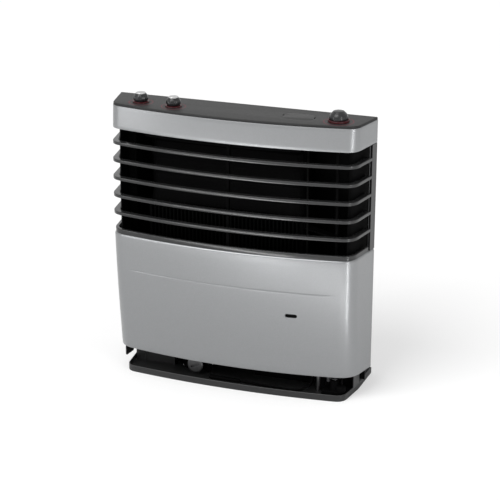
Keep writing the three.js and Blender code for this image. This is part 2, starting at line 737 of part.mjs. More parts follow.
const CAP_FOOT = BAND_HEAD + SEAT;
const WELL_LENGTH = CELL_LENGTH + 2 * CELL_CLEARANCE;
const WELL_WIDTH = 4 * CELL_RADIUS + 3 * CELL_CLEARANCE;
const LID_LENGTH = WELL_LENGTH + 2 * (LID_MARGIN_ENDS + LID_LEDGE);
const LID_WIDTH = WELL_WIDTH + 2 * (LID_MARGIN_SIDES + LID_LEDGE);
const LID_FOOT = CAP_HEAD - LID_THICKNESS;
const CELL_UP = CAP_FOOT - CELL_HEADROOM - CELL_RADIUS;
const LID_HOLE = { length: LID_LENGTH + LID_GAP, width: LID_WIDTH + LID_GAP };

function topPanel() {
  const over = 1;
  const rim = 0.4;
  const edge = CAP_HEAD - CAP_CHAMFER;
  const plate = filled([[rim, CAP_FOOT], [CAP_CHAMFER / 2, edge], [rim + CAP_CHAMFER, CAP_HEAD]]);
  const skirtFront = WALL + SEAT;
  const skirtFoot = CAP_FOOT - SKIRT_DROP;
  const skirtBack = skirtFront + WALL;
  const skirtHead = CAP_FOOT + over;
  const skirt = swept([
    [skirtFront, skirtFoot], [skirtFront, skirtHead], [skirtBack, skirtHead], [skirtBack, skirtFoot],
  ], aroundFront(0));
  const lidHole = roundedRectangle(LID_HOLE.length, LID_HOLE.width, LID_CORNER);
  const rebate = prism(lidHole, LID_FOOT - SEAT, CAP_HEAD + over);
  const well = prism(
    roundedRectangle(LID_LENGTH - 2 * LID_LEDGE, LID_WIDTH - 2 * LID_LEDGE, LID_CORNER - LID_LEDGE),
    CAP_FOOT - over,
    CAP_HEAD,
  );
  const holes = [...FAN_KNOB_PLACES, { x: THERMOSTAT_SIDE, y: -KNOB_LINE }].map(({ x, y }) => {
    return rod(SPINDLE_RADIUS + RUNNING_GAP, CAP_FOOT - over, CAP_HEAD + over).translate(x, y, 0);
  });
  return cut(
    join(plate, skirt),
    rebate.translate(LID_SIDE, -LID_LINE, 0),
    well.translate(LID_SIDE, -LID_LINE, 0),
    ...holes,
  );
}

function batteryLid() {
  const lipInset = LID_LEDGE + LID_GAP;
  const [lipLength, lipWidth] = [LID_LENGTH - 2 * lipInset, LID_WIDTH - 2 * lipInset];
  const [lipDrop, sunk] = [1.5, 0.5];
  const plate = prism(roundedRectangle(LID_LENGTH, LID_WIDTH, LID_CORNER), LID_FOOT, CAP_HEAD);
  const lip = prism(
    roundedRectangle(lipLength, lipWidth, LID_CORNER - lipInset),
    LID_FOOT - lipDrop,
    LID_FOOT + sunk,
  );
  return join(plate, lip).translate(LID_SIDE, -LID_LINE, 0);
}

const CELL_FLOOR = CELL_UP - CELL_RADIUS - SEAT;

function batteryTray() {
  const length = LID_LENGTH - 2 * LID_LEDGE + 2 * WELL_WALL;
  const width = LID_WIDTH - 2 * LID_LEDGE + 2 * WELL_WALL;
  const over = 1;
  const outline = roundedRectangle(length, width, WELL_CORNER + WELL_WALL);
  const outer = prism(outline, CELL_FLOOR - WELL_WALL, CAP_FOOT - SEAT);
  const inner = prism(
    roundedRectangle(length - 2 * WELL_WALL, width - 2 * WELL_WALL, WELL_CORNER),
    CELL_FLOOR,
    CAP_FOOT + over,
  );
  return cut(outer, inner).translate(LID_SIDE, -LID_LINE, 0);
}

function batteryCell(row) {
  const nub = 1.2;
  const body = CELL_LENGTH - nub;
  const profile = [[0, 0], [CELL_RADIUS - 0.6, 0], [CELL_RADIUS, 0.6], [CELL_RADIUS, body - 0.6],
    [CELL_RADIUS - 0.6, body], [2.6, body], [2.6, body + nub], [0, body + nub]];
  const cell = turned(profile, 12).translate(0, 0, -CELL_LENGTH / 2).rotateY(row * Math.PI / 2);
  return cell.translate(LID_SIDE, -LID_LINE + row * (CELL_RADIUS + CELL_CLEARANCE / 2), CELL_UP);
}

function ignitionUnit() {
  const head = CELL_FLOOR - WELL_WALL - SEAT;
  const half = WELL_LENGTH / 2;
  const deep = WELL_WIDTH / 2;
  const body = block(-half, half, -deep, deep, head - IGNITER_HEIGHT, head);
  const terminal = rod(CABLE_RADIUS + 2, head - IGNITER_HEIGHT - 6, head - IGNITER_HEIGHT + 1);
  return join(body, terminal.translate(IGNITER_TERMINAL, 0, 0)).translate(LID_SIDE, -LID_LINE, 0);
}

// ---------------------------------------------------------------- knobs and controls

// A grip body: each level is [radius, height], and the lobes swell the radius round the knob.
function grip(levels, lobes, swell) {
  const around = lobes * 2;
  const sections = levels.map(([radius, z]) => {
    return Array.from({ length: around }, (unused, i) => {
      const angle = i * 2 * Math.PI / around;
      const reach = radius + (i % 2 ? swell : 0);
      return new THREE.Vector3(reach * Math.cos(angle), reach * Math.sin(angle), z);
    });
  });
  return skin(sections, sections[0].map((p) => new THREE.Vector2(p.x, p.y)));
}

// Red light ring on the cap, with its top edge sloped.
function knobRing(inner, outer, height, { x, y }) {
  const foot = CAP_HEAD + SEAT;
  const slope = Math.min(1, (outer - inner) / 2);
  const profile = [
    [inner, foot], [outer, foot], [outer, foot + height / 2], [outer - slope, foot + height],
    [inner, foot + height], [inner, foot],
  ];
  return turned(profile, 16).translate(x, y, 0);
}

const FAN_KNOB_FOOT = CAP_HEAD + RING_HEIGHT + 2 * SEAT;
const CONTROL_HEAD = CAP_FOOT - SEAT;

// Narrow foot over the ring, a bulging grip, and a flat head for the inlaid disc.
function fanKnob({ x, y }) {
  const [r, foot, head] = [FAN_KNOB_RADIUS - LOBE_SWELL, FAN_KNOB_FOOT, FAN_KNOB_FOOT + FAN_KNOB_HEIGHT];
  const levels = [
    [r - 1.4, foot], [r - 0.2, foot + 3], [r, foot + 5], [r - 0.5, foot + 8], [r - 1.7, foot + 11],
    [FAN_KNOB_CAP_RADIUS + 0.6, head],
  ];
  const body = grip(levels, FAN_KNOB_LOBES, LOBE_SWELL);
  const spindle = rod(SPINDLE_RADIUS, CONTROL_HEAD - CONTROL_HEIGHT + 4, foot + 1);
  return join(body, spindle).translate(x, y, 0);
}

function fanKnobCap({ x, y }) {
  const foot = FAN_KNOB_FOOT + FAN_KNOB_HEIGHT + SEAT;
  const [r, h] = [FAN_KNOB_CAP_RADIUS, FAN_KNOB_CAP_HEIGHT];
  const profile = [
    [0, foot], [r, foot], [r, foot + h * 0.3], [r - 1, foot + h * 0.75], [r * 0.55, foot + h], [0, foot + h],
  ];
  return turned(profile, 18).translate(x, y, 0);
}

function fanControl({ x, y }) {
  const [foot, head] = [CONTROL_HEAD - CONTROL_HEIGHT, CONTROL_HEAD];
  const bore = SPINDLE_RADIUS + RUNNING_GAP;
  const [neckHeight, floor] = [4, 3];
  const profile = [
    [0, foot], [CONTROL_RADIUS, foot], [CONTROL_RADIUS, head - neckHeight], [CONTROL_NECK, head - neckHeight],
    [CONTROL_NECK, head], [bore, head], [bore, foot + floor], [0, foot + floor],
  ];
  return turned(profile, 16).translate(x, y, 0);
}

const THERMOSTAT_FOOT = CAP_HEAD + PRESS_TRAVEL + SEAT;

function thermostatKnob() {
  const r = THERMOSTAT_KNOB_RADIUS - LOBE_SWELL;
  const [foot, head] = [THERMOSTAT_FOOT, CAP_HEAD + THERMOSTAT_KNOB_HEIGHT];
  const tall = head - foot;
  const dome = [
    [0.98, 0], [1, 0.12], [0.97, 0.28], [0.9, 0.46], [0.77, 0.68], [0.58, 0.86], [0.33, 0.97], [0.12, 1],
  ];
  const levels = dome.map(([reach, rise]) => [r * reach, foot + tall * rise]);
  const bore = rod(SPINDLE_RADIUS + SEAT, foot - 1, foot + KNOB_BORE_DEPTH);
  return cut(grip(levels, THERMOSTAT_LOBES, LOBE_SWELL), bore).translate(THERMOSTAT_SIDE, -KNOB_LINE, 0);
}

// ---------------------------------------------------------------- gas valve, rod and thermostat

const BOSS_FOOT = VALVE_BODY.head;
const SPRING_FOOT = VALVE_SPINDLE_HEAD + SEAT;
const WASHER_FOOT = SPRING_FOOT + SPRING_LENGTH + SEAT;
const COLLAR_FOOT = WASHER_FOOT + WASHER_HEIGHT + SEAT;

function gasValve() {
  const { left, right, front, back, head } = VALVE_BODY;
  const body = block(left, right, -front, -back, STAND, head);
  const boss = rod(ROD_COLLAR_RADIUS + 1, BOSS_FOOT - 1, VALVE_SPINDLE_HEAD);
  boss.translate(THERMOSTAT_SIDE, -KNOB_LINE, 0);
  const dome = turned([
    [0, BOSS_FOOT - 1], [HEAD_RADIUS, BOSS_FOOT - 1], [HEAD_RADIUS, HEAD_TOP - 4],
    [HEAD_RADIUS - 2, HEAD_TOP - 1],
    [HEAD_RADIUS - 5, HEAD_TOP], [0, HEAD_TOP],
  ], 16).translate(HEAD_SIDE, -KNOB_LINE, 0);
  const port = rod(PIPE_RADIUS + 2, BOSS_FOOT - 1, INLET_PORT.head).translate(INLET_PORT.x, INLET_PORT.y, 0);
  const outlet = crossBar(PIPE_RADIUS + 1.5, OUTLET_PORT.x, -back - 1, -back + 6, OUTLET_PORT.z);
  const bore = rod(SPINDLE_RADIUS + RUNNING_GAP, VALVE_BORE_FOOT, VALVE_SPINDLE_HEAD + 1);
  return cut(join(body, boss, dome, port, outlet), bore.translate(THERMOSTAT_SIDE, -KNOB_LINE, 0));
}

function controlRod() {
  const foot = VALVE_BORE_FOOT + PRESS_TRAVEL + 1;
  const head = THERMOSTAT_FOOT + KNOB_BORE_DEPTH - SEAT;
  const [r, collar] = [SPINDLE_RADIUS, ROD_COLLAR_RADIUS];
  const profile = [
    [0, foot], [r, foot], [r, COLLAR_FOOT], [collar, COLLAR_FOOT], [collar, COLLAR_FOOT + ROD_COLLAR_HEIGHT],
    [r, COLLAR_FOOT + ROD_COLLAR_HEIGHT], [r, head], [0, head],
  ];
  return turned(profile, 14).translate(THERMOSTAT_SIDE, -KNOB_LINE, 0);
}

function thrustWasher() {
  const [inner, outer] = [SPINDLE_RADIUS + RUNNING_GAP, ROD_COLLAR_RADIUS];
  const [foot, head] = [WASHER_FOOT, WASHER_FOOT + WASHER_HEIGHT];
  return turned([[inner, foot], [outer, foot], [outer, head], [inner, head], [inner, foot]], 14)
    .translate(THERMOSTAT_SIDE, -KNOB_LINE, 0);
}

function returnSpring() {
  const low = SPRING_FOOT + SPRING_WIRE;
  const high = SPRING_FOOT + SPRING_LENGTH - SPRING_WIRE;
  const mean = SPRING_RADIUS - SPRING_WIRE;
  const perTurn = 8;
  const points = Array.from({ length: SPRING_TURNS * perTurn + 1 }, (unused, i) => {
    const angle = i * 2 * Math.PI / perTurn;
    const rise = i / (SPRING_TURNS * perTurn);
    return [mean * Math.cos(angle), mean * Math.sin(angle), THREE.MathUtils.lerp(low, high, rise)];
  });
  const turnLength = 2 * Math.PI * mean;
  return pipe(points, SPRING_WIRE, 6, turnLength / perTurn).translate(THERMOSTAT_SIDE, -KNOB_LINE, 0);
}

function gasInletPipe() {
  const arch = 74;
  const foot = SEAT + 0.2;
  const end = INLET_PORT.head + SEAT;
  const middle = (INLET_SIDE + INLET_PORT.x) / 2;
  const middleY = (INLET_BACK + INLET_PORT.y) / 2;
  return pipe([
    [INLET_SIDE, INLET_BACK, foot], [INLET_SIDE, INLET_BACK, foot + 16], [INLET_SIDE, INLET_BACK, arch - 12],
    [middle, middleY, arch], [INLET_PORT.x, INLET_PORT.y, arch - 12],
    [INLET_PORT.x, INLET_PORT.y, end + 12], [INLET_PORT.x, INLET_PORT.y, end],
  ], PIPE_RADIUS, 8, 8);
}

function burnerGasPipe() {
  const start = -VALVE_BODY.back + 6 + SEAT;
  const run = 22;
  const tube = pipe([
    [OUTLET_PORT.x, start, OUTLET_PORT.z], [OUTLET_PORT.x, start + 8, OUTLET_PORT.z],
    [OUTLET_PORT.x - 14, run, OUTLET_PORT.z + 1], [HOUSING_RIGHT, run, OUTLET_PORT.z + 2],
    [VENTURI_SIDE + 14, HOUSING_CENTRE_Y, OUTLET_PORT.z + 2],
    [VENTURI_SIDE, HOUSING_CENTRE_Y, INJECTOR_UP - 6],
    [VENTURI_SIDE, HOUSING_CENTRE_Y, INJECTOR_UP],
  ], PIPE_RADIUS * 0.75, 8, 8);
  const [foot, shoulder, tip] = [INJECTOR_UP - 2, INJECTOR_UP + 5, INJECTOR_UP + 10];
  const injector = turned([[0, foot], [5.5, foot], [5.5, shoulder], [2, tip], [0, tip]], 6);
  injector.translate(VENTURI_SIDE, HOUSING_CENTRE_Y, 0);
  return join(tube, injector);
}

// Bulb on the tray's floor, thin tube to the valve's domed head.
function thermostatSensor() {
  const lie = STAND + BULB_RADIUS;
  const bulbRight = EXCHANGER_RIGHT - BULB_INSET;
  const riser = INLET_SIDE - 12;
  const riserLine = INLET_BACK - 4;
  const arch = PANEL_FOOT + 34;
  const tube = pipe([
    [bulbRight - 2, -BULB_LINE, lie], [bulbRight + 50, -BULB_LINE - 3, lie],
    [riser - 14, -BULB_LINE + 4, lie], [riser, riserLine, lie + 12],
    [riser, riserLine, arch - 12], [(riser + HEAD_SIDE) / 2, riserLine + 18, arch],
    [HEAD_SIDE + 1, -KNOB_LINE + 6, arch - 18], [HEAD_SIDE + 2, -KNOB_LINE, HEAD_TOP + 14],
    [HEAD_SIDE + 2, -KNOB_LINE, HEAD_TOP + SEAT],
  ], CAPILLARY_RADIUS, 6, 15);
  const body = rod(BULB_RADIUS, bulbRight - BULB_LENGTH, bulbRight, 10).rotateY(Math.PI / 2);
  return join(tube, body.translate(0, -BULB_LINE, lie));
}

function rodGuide() {
  const root = EXCHANGER_RIGHT + SEAT;
  const [thick, tab] = [2.5, 16];
  const eye = 8;
  const outline = [
    [root, -10], [root, -30],
    [THERMOSTAT_SIDE - eye, -KNOB_LINE - eye], [THERMOSTAT_SIDE + eye, -KNOB_LINE - eye],
    [THERMOSTAT_SIDE + eye, -KNOB_LINE + eye], [THERMOSTAT_SIDE - eye, -KNOB_LINE + eye],
  ];
  const plate = prism(polygon(outline), GUIDE_UP - thick - tab, GUIDE_UP - tab);
  const foot = block(root, root + thick, -30, -10, GUIDE_UP - thick - tab, GUIDE_UP);
  const hole = rod(SPINDLE_RADIUS + RUNNING_GAP, GUIDE_UP - 2 * tab, GUIDE_UP);
  return cut(join(plate, foot), hole.translate(THERMOSTAT_SIDE, -KNOB_LINE, 0));
}

// ---------------------------------------------------------------- heat exchanger and burner

// Plan outline with a comb of fins on the front and the rear.
function exchangerOutline() {
  const [left, right] = [EXCHANGER_LEFT, EXCHANGER_RIGHT];
  const [front, rear] = [-EXCHANGER_FRONT, EXCHANGER_REAR - FIN_DEPTH];
  const count = Math.floor((right - left - FIN_THICKNESS) / FIN_PITCH);
  const start = (left + right - (count - 1) * FIN_PITCH - FIN_THICKNESS) / 2;
  const comb = (root, tip) => Array.from({ length: count }, (unused, i) => {
    const x = start + i * FIN_PITCH;
    return [[x, root], [x + 0.4, tip], [x + FIN_THICKNESS - 0.4, tip], [x + FIN_THICKNESS, root]];
  }).flat();
  const frontComb = comb(front, front - FIN_DEPTH);
  const rearComb = comb(rear, rear + FIN_DEPTH).reverse();
  return polygon([[left, front], ...frontComb, [right, front], [right, rear], ...rearComb, [left, rear]]);
}

function heatExchanger() {
  const shape = exchangerOutline();
  const [x0, x1] = [EXCHANGER_LEFT + CASTING_WALL, EXCHANGER_RIGHT - CASTING_WALL];
  const [y0, y1] = [-EXCHANGER_FRONT + CASTING_WALL, EXCHANGER_REAR - FIN_DEPTH - CASTING_WALL];
  const corners = [[x0, y0], [x0, y1], [x1, y1], [x1, y0]];
  const hole = new THREE.Path(corners.map(([x, y]) => new THREE.Vector2(x, y)));
  shape.holes.push(hole);
  return prism(shape, EXCHANGER_FOOT, FIN_HEAD);
}

// A hollow hood with three pressed beads round it.
function exchangerHood() {
  const foot = FIN_HEAD + SEAT;
  const middle = [(EXCHANGER_LEFT + EXCHANGER_RIGHT) / 2, (EXCHANGER_REAR - FIN_DEPTH - EXCHANGER_FRONT) / 2];
  const half = [(EXCHANGER_RIGHT - EXCHANGER_LEFT) / 2, (EXCHANGER_REAR - FIN_DEPTH + EXCHANGER_FRONT) / 2];
  const ring = (shrink, z) => {
    const shape = roundedRectangle(2 * (half[0] - shrink), 2 * (half[1] - shrink), 16);
    const outline = shape.getPoints(2).slice(0, -1);
    return outline.map((p) => new THREE.Vector3(p.x + middle[0], p.y + middle[1], z));
  };
  const rise = HOOD_HEAD - foot;
  const bead = 3;
  const outer = [[0, 0]];
  for (const share of [0.22, 0.46, 0.7]) {
    outer.push([bead, share - 0.05], [0, share], [bead, share + 0.05]);
  }
  outer.push([bead + 2, 0.9], [12, 0.97], [18, 1]);
  const rings = outer.map(([shrink, share]) => ring(shrink, foot + rise * share));
  const inner = [[CASTING_WALL, -0.1], [CASTING_WALL + bead, 0.8], [CASTING_WALL + 14, 0.94]];
  const hollow = inner.map(([shrink, share]) => ring(shrink, foot + rise * share));
  const capOf = (loops) => loops[0].map((p) => new THREE.Vector2(p.x, p.y));
  return cut(skin(rings, capOf(rings)), skin(hollow, capOf(hollow)));
}

const FLOOR_HEAD = EXCHANGER_FOOT - SEAT;
const FLOOR_FOOT = FLOOR_HEAD - PLATE;

function combustionFloor() {
  const over = 1;
  const plate = block(
    EXCHANGER_LEFT, EXCHANGER_RIGHT, -EXCHANGER_FRONT, EXCHANGER_REAR - FIN_DEPTH, FLOOR_FOOT, FLOOR_HEAD,
  );
  const through = (radius, x, y) => rod(radius, FLOOR_FOOT - over, FLOOR_HEAD + over, 20).translate(x, y, 0);
  return cut(
    plate,
    through(FLUE_RADIUS - FLUE_WALL, FLUE_SIDE, FLUE_BACK),
    through(BURNER_HOLE, VENTURI_SIDE, HOUSING_CENTRE_Y),
    through(ELECTRODE_RADIUS + RUNNING_GAP, ELECTRODE_SIDE, ELECTRODE_BACK),
    through(ELECTRODE_RADIUS + RUNNING_GAP, SENSOR_SIDE, ELECTRODE_BACK),
  );
}

// Stand under the exchanger: two legs and a bar, with its front leg at a distance from the wall.
function supportFrame(x, frontLine) {
  const wide = FRAME_BAR;
  const rear = EXCHANGER_REAR - FIN_DEPTH - 3;
  const head = FLOOR_FOOT - SEAT;
  return cut(
    block(x - wide / 2, x + wide / 2, -frontLine, rear, STAND, head),
    block(x - wide, x + wide, -frontLine + wide, rear - wide, STAND - 1, head - wide),
  );
}

// Sides and back of the burner housing, with a floor round the air inlet; the cover closes its front.
function burnerHousing() {
  const front = -COVER_LINE + SHEET + SEAT;
  const [right, rear] = [HOUSING_RIGHT - SHEET - SEAT, HOUSING_REAR - 2];
  const head = FLOOR_FOOT - SEAT;
  const over = 5;
  const [portFront, portRear] = [HOUSING_CENTRE_Y - 8, HOUSING_CENTRE_Y + 12];
  return cut(
    block(HOUSING_LEFT, right, front, rear, STAND, head),
    block(HOUSING_LEFT + SHEET, right - SHEET, front - over, rear - SHEET, STAND + SHEET, head + over),
    airInletHole(0, STAND + 2 * over),
    block(HOUSING_RIGHT - over, HOUSING_RIGHT + over, portFront, portRear, STAND + SHEET, STAND + 16),
  );
}

function burnerCover() {
  const front = -COVER_LINE;
  const head = FLOOR_FOOT - SEAT;
  const sight = crossBar(SIGHT_RADIUS, SIGHT_SIDE, front - 3, front + 5, SIGHT_UP, 20);
  const plate = block(HOUSING_LEFT - SHEET, HOUSING_RIGHT, front, front + SHEET, STAND, head);
  const edge = block(HOUSING_RIGHT - SHEET, HOUSING_RIGHT, front, front + 12, STAND, head);
  const port = crossBar(CABLE_RADIUS + 3.5, CABLE_PORT.x, front - 3, front + 5, CABLE_PORT.z, 12);
  return cut(join(plate, edge), sight, port);
}

function sightGlass() {
  const rim = SIGHT_RADIUS + 2;
  const seat = SIGHT_RADIUS - SEAT;
  const [proud, plug] = [1.6, 1.4];
  const profile = [
    [0, -plug], [seat, -plug], [seat, 0], [rim, 0], [rim, proud - 0.5], [rim - 1, proud], [0, proud],
  ];
  const lens = turned(profile, 20).rotateX(Math.PI / 2);
  return lens.translate(SIGHT_SIDE, -COVER_LINE - SEAT, SIGHT_UP);
}

function baffleLeft() {
  const rim = TRAY_HALF - TRAY_LEAN * BAFFLE_LINE - TRAY_RIM;
  const [left, right, front] = [-rim + SEAT, BAFFLE_EDGE, -BAFFLE_LINE];
  const seam = BAFFLE_SEAM;
  const [width, depth, back] = [0.8, 0.8, 20];
  const outline = [
    [left, front], [seam - width, front], [seam, front + depth], [seam + width, front], [right, front],
    [right, front + back], [right - SHEET, front + back],
    [right - SHEET, front + SHEET], [left, front + SHEET],
  ];
  return prism(polygon(outline), STAND, FLOOR_FOOT - 2 * SEAT - FRAME_BAR);
}

function burner() {
  const tube = rod(BURNER_RADIUS, BURNER_LEFT, BURNER_RIGHT, 16);
  tube.rotateY(Math.PI / 2).translate(0, 0, BURNER_UP);
  const mouth = INJECTOR_UP + 14;
  const venturi = turned([
    [0, mouth + 4], [VENTURI_RADIUS - 4, mouth], [VENTURI_RADIUS + 2, mouth], [VENTURI_RADIUS, mouth + 12],
    [VENTURI_RADIUS, FLOOR_HEAD + SEAT], [BURNER_FLANGE, FLOOR_HEAD + SEAT], [BURNER_FLANGE, FLOOR_HEAD + 3],
    [VENTURI_RADIUS, FLOOR_HEAD + 3], [VENTURI_RADIUS, BURNER_UP], [0, BURNER_UP],
  ], 16).translate(VENTURI_SIDE, 0, 0);
  const margin = 15;
  const pitch = (BURNER_RIGHT - BURNER_LEFT - 2 * margin) / (BURNER_SLOTS - 1);
  const [wide, deep] = [1.5, 4];
  const [slotFoot, slotHead] = [BURNER_UP + BURNER_RADIUS - deep, BURNER_UP + 2 * BURNER_RADIUS];
  const slots = Array.from({ length: BURNER_SLOTS }, (unused, i) => {
    const x = BURNER_LEFT + margin + i * pitch;
    return block(x - wide, x + wide, -BURNER_RADIUS, BURNER_RADIUS, slotFoot, slotHead);
  });
  return cut(join(tube, venturi), ...slots).translate(0, HOUSING_CENTRE_Y, 0);
}

// A stem through the combustion floor: a collar rests on the plate, a thin tip stands by the burner.
function stem(x, bodyRadius, tipRadius) {
  const foot = FLOOR_FOOT - 26;
  const shoulder = FLOOR_HEAD + SEAT;
  const [collar, head, tip] = [ELECTRODE_RADIUS + 2.5, FLOOR_HEAD + 12, BURNER_UP + 6];
  const profile = [
    [0, foot], [bodyRadius, foot], [bodyRadius, shoulder], [collar, shoulder], [collar, shoulder + 2.5],
    [bodyRadius, shoulder + 2.5], [bodyRadius, head], [tipRadius, head], [tipRadius, tip], [0, tip],
  ];
  return turned(profile, 10).translate(x, ELECTRODE_BACK, 0);
}

function ignitionCable() {
  const start = CELL_FLOOR - WELL_WALL - IGNITER_HEIGHT - 6 - 2 * SEAT;
  const x = LID_SIDE + IGNITER_TERMINAL;
  const side = EXCHANGER_RIGHT + 16;
  const end = FLOOR_FOOT - 26 - SEAT;
  const line = -CABLE_LINE;
  const floorLine = line / 2;
  return pipe([
    [x, -LID_LINE, start], [x, -LID_LINE, start - 8], [side, line, start - 30], [side, line, GUIDE_UP + 14],
    [side, line, EXCHANGER_FOOT + 60], [side, line, EXCHANGER_FOOT - 8],
    [side - 10, line + 10, EXCHANGER_FOOT - 22],
    [CABLE_PORT.x + 36, floorLine - 2, CABLE_PORT.z + 12],
    [CABLE_PORT.x + 6, floorLine + 1, CABLE_PORT.z + 2],
    [CABLE_PORT.x, -COVER_LINE - 3, CABLE_PORT.z], [CABLE_PORT.x, -COVER_LINE + 4, CABLE_PORT.z],
    [ELECTRODE_SIDE, ELECTRODE_BACK, end - 4], [ELECTRODE_SIDE, ELECTRODE_BACK, end],
  ], CABLE_RADIUS, 6, 18);
}

// ---------------------------------------------------------------- flue and deflector

function flueOutlet() {
  const [inner, outer] = [FLUE_RADIUS - FLUE_WALL, FLUE_RADIUS - 0.3];
  const head = FLOOR_FOOT - SEAT;
  const collar = FLUE_COLLAR;
  const foot = 0.5;
  const profile = [
    [inner, foot], [outer, foot], [outer, head - 10], [collar - 2, head - 4], [collar, head - 3],
    [collar, head], [inner, head], [inner, foot],
  ];
  return turned(profile, 18).translate(FLUE_SIDE, FLUE_BACK, 0);
}

// Clamp band with a slotted quarter-turn screw that faces forwards.
function flueClamp() {
  const inner = FLUE_RADIUS;
  const outer = inner + CLAMP_BAND;
  const half = 5;
  const band = turned([
    [inner, CLAMP_UP - half], [outer, CLAMP_UP - half], [outer, CLAMP_UP + half], [inner, CLAMP_UP + half],
    [inner, CLAMP_UP - half],
  ], 18).translate(FLUE_SIDE, FLUE_BACK, 0);
  const face = FLUE_BACK - outer - 12;
  const reach = 14;
  const screwSide = FLUE_SIDE + reach;
  const root = FLUE_BACK - Math.sqrt(inner ** 2 - (reach - half) ** 2) - SEAT;
  const post = block(screwSide - half, screwSide + half, face + 4, root, CLAMP_UP - half, CLAMP_UP + half);
  const head = crossBar(CLAMP_SCREW_RADIUS, screwSide, face, face + 5, CLAMP_UP, 20);
  const slot = block(-CLAMP_SCREW_RADIUS * 0.7, CLAMP_SCREW_RADIUS * 0.7, face - 2, face + 2, -1.5, 1.5);
  slot.rotateY(-Math.PI / 6).translate(screwSide, 0, CLAMP_UP);
  return cut(join(band, post, head), slot);
}

// Sheet over the hood that turns the warm air forwards; its front edge is an arc.
function heatDeflector() {
  const foot = HOOD_HEAD + SEAT;
  const [left, right, middle] = [EXCHANGER_LEFT, EXCHANGER_RIGHT, (EXCHANGER_LEFT + EXCHANGER_RIGHT) / 2];
  const rear = BOX_REAR - SHEET - DEFLECTOR_GAP;
  const arc = (offset) => {
    const side = -DEFLECTOR_SIDE + offset;
    const shape = new THREE.Shape();
    shape.moveTo(left, rear);
    shape.lineTo(left, side);
    shape.quadraticCurveTo(middle, side - 2 * DEFLECTOR_BOW, right, side);
    shape.lineTo(right, rear);
    return shape;
  };
  const over = 1;
  const lip = cut(
    prism(arc(0), foot, foot + DEFLECTOR_LIP, 8),
    prism(arc(SHEET), foot - over, foot + DEFLECTOR_LIP + over, 8),
    block(left - over, right + over, -DEFLECTOR_SIDE, rear + over, foot + SHEET, foot + DEFLECTOR_LIP + over),
  );
  return join(prism(arc(0), foot, foot + SHEET, 8), lip);
}

// ---------------------------------------------------------------- assembly

add('base_plate', basePlate(), FINISHES.darkPlastic);
add('installation_box', installationBox(), FINISHES.darkSheet);
add('fan_port_cover', fanPortCover(), FINISHES.zincSheet);
for (const [name, side] of [['left', -1], ['right', 1]]) {
  add(`bracket_${name}`, bracket(side), FINISHES.darkSheet);
  add(`cladding_clip_${name}`, claddingClip(side), FINISHES.steel);
  add(`grille_post_${name}`, grillePost(side), FINISHES.darkPlastic);
}

add('lower_panel', lowerPanel(), FINISHES.silver);
add('pilot_window', pilotWindow(), FINISHES.black);
add('bottom_rail', bottomRail(), FINISHES.darkPlastic);
add('grille_rib', grilleRib(), FINISHES.darkPlastic);
for (let number = 1; number <= SLAT_COUNT; number += 1) {
  add(`slat_${number}`, slat(number), FINISHES.darkPlastic);
}
add('trim_band', trimBand(), FINISHES.silver);
add('top_panel', topPanel(), FINISHES.capPlastic);

add('battery_lid', batteryLid(), FINISHES.capPlastic);
add('battery_tray', batteryTray(), FINISHES.black);
for (const [number, row] of [[1, -1], [2, 1]]) {
  add(`battery_cell_${number}`, batteryCell(row), FINISHES.cellWrap);
}
add('ignition_unit', ignitionUnit(), FINISHES.black);
add('ignition_cable', ignitionCable(), FINISHES.cableJacket);

FAN_KNOB_PLACES.forEach((place, i) => {
  const ring = knobRing(FAN_KNOB_RADIUS - RING_UNDERLAP, FAN_KNOB_RADIUS + RING_WIDTH, RING_HEIGHT, place);
  add(`fan_knob_${i + 1}`, fanKnob(place), FINISHES.black);
  add(`fan_knob_cap_${i + 1}`, fanKnobCap(place), FINISHES.silver);
  add(`fan_control_${i + 1}`, fanControl(place), FINISHES.black);
  add(`knob_ring_${i + 1}`, ring, FINISHES.redGlow);
});
const thermostatPlace = { x: THERMOSTAT_SIDE, y: -KNOB_LINE };
const ringBore = THERMOSTAT_KNOB_RADIUS + RUNNING_GAP;
const thermostatRing = knobRing(ringBore, ringBore + RING_WIDTH, PRESS_TRAVEL, thermostatPlace);
add('thermostat_knob', thermostatKnob(), FINISHES.black);
add('knob_ring_3', thermostatRing, FINISHES.redGlow);

add('gas_valve', gasValve(), FINISHES.casting);
add('control_rod', controlRod(), FINISHES.darkSheet);
add('thrust_washer', thrustWasher(), FINISHES.brass);
add('return_spring', returnSpring(), FINISHES.steel);
add('rod_guide', rodGuide(), FINISHES.zincSheet);
add('gas_inlet_pipe', gasInletPipe(), FINISHES.steel);
add('burner_gas_pipe', burnerGasPipe(), FINISHES.aluminium);
add('thermostat_sensor', thermostatSensor(), FINISHES.darkSheet);

add('heat_exchanger', heatExchanger(), FINISHES.casting);
add('exchanger_hood', exchangerHood(), FINISHES.casting);
add('combustion_floor', combustionFloor(), FINISHES.casting);
const frameSides = [(EXCHANGER_LEFT + BAFFLE_EDGE) / 2, FLUE_SIDE + FLUE_COLLAR + FRAME_BAR / 2 + SEAT];
add('support_frame_1', supportFrame(frameSides[0], BAFFLE_LINE - SHEET - SEAT), FINISHES.darkSheet);
add('support_frame_2', supportFrame(frameSides[1], EXCHANGER_FRONT - SEAT), FINISHES.darkSheet);
add('burner_housing', burnerHousing(), FINISHES.zincSheet);
add('burner_cover', burnerCover(), FINISHES.darkSheet);
add('sight_glass', sightGlass(), FINISHES.ceramic);
add('baffle_left', baffleLeft(), FINISHES.darkSheet);
add('burner', burner(), FINISHES.steel);
add('ignition_electrode', stem(ELECTRODE_SIDE, ELECTRODE_RADIUS, 1), FINISHES.ceramic);
add('flame_sensor', stem(SENSOR_SIDE, 2.5, 2), FINISHES.brass);
add('flue_outlet', flueOutlet(), FINISHES.aluminium);
add('flue_clamp', flueClamp(), FINISHES.aluminium);
add('heat_deflector', heatDeflector(), FINISHES.darkSheet);

export default group;
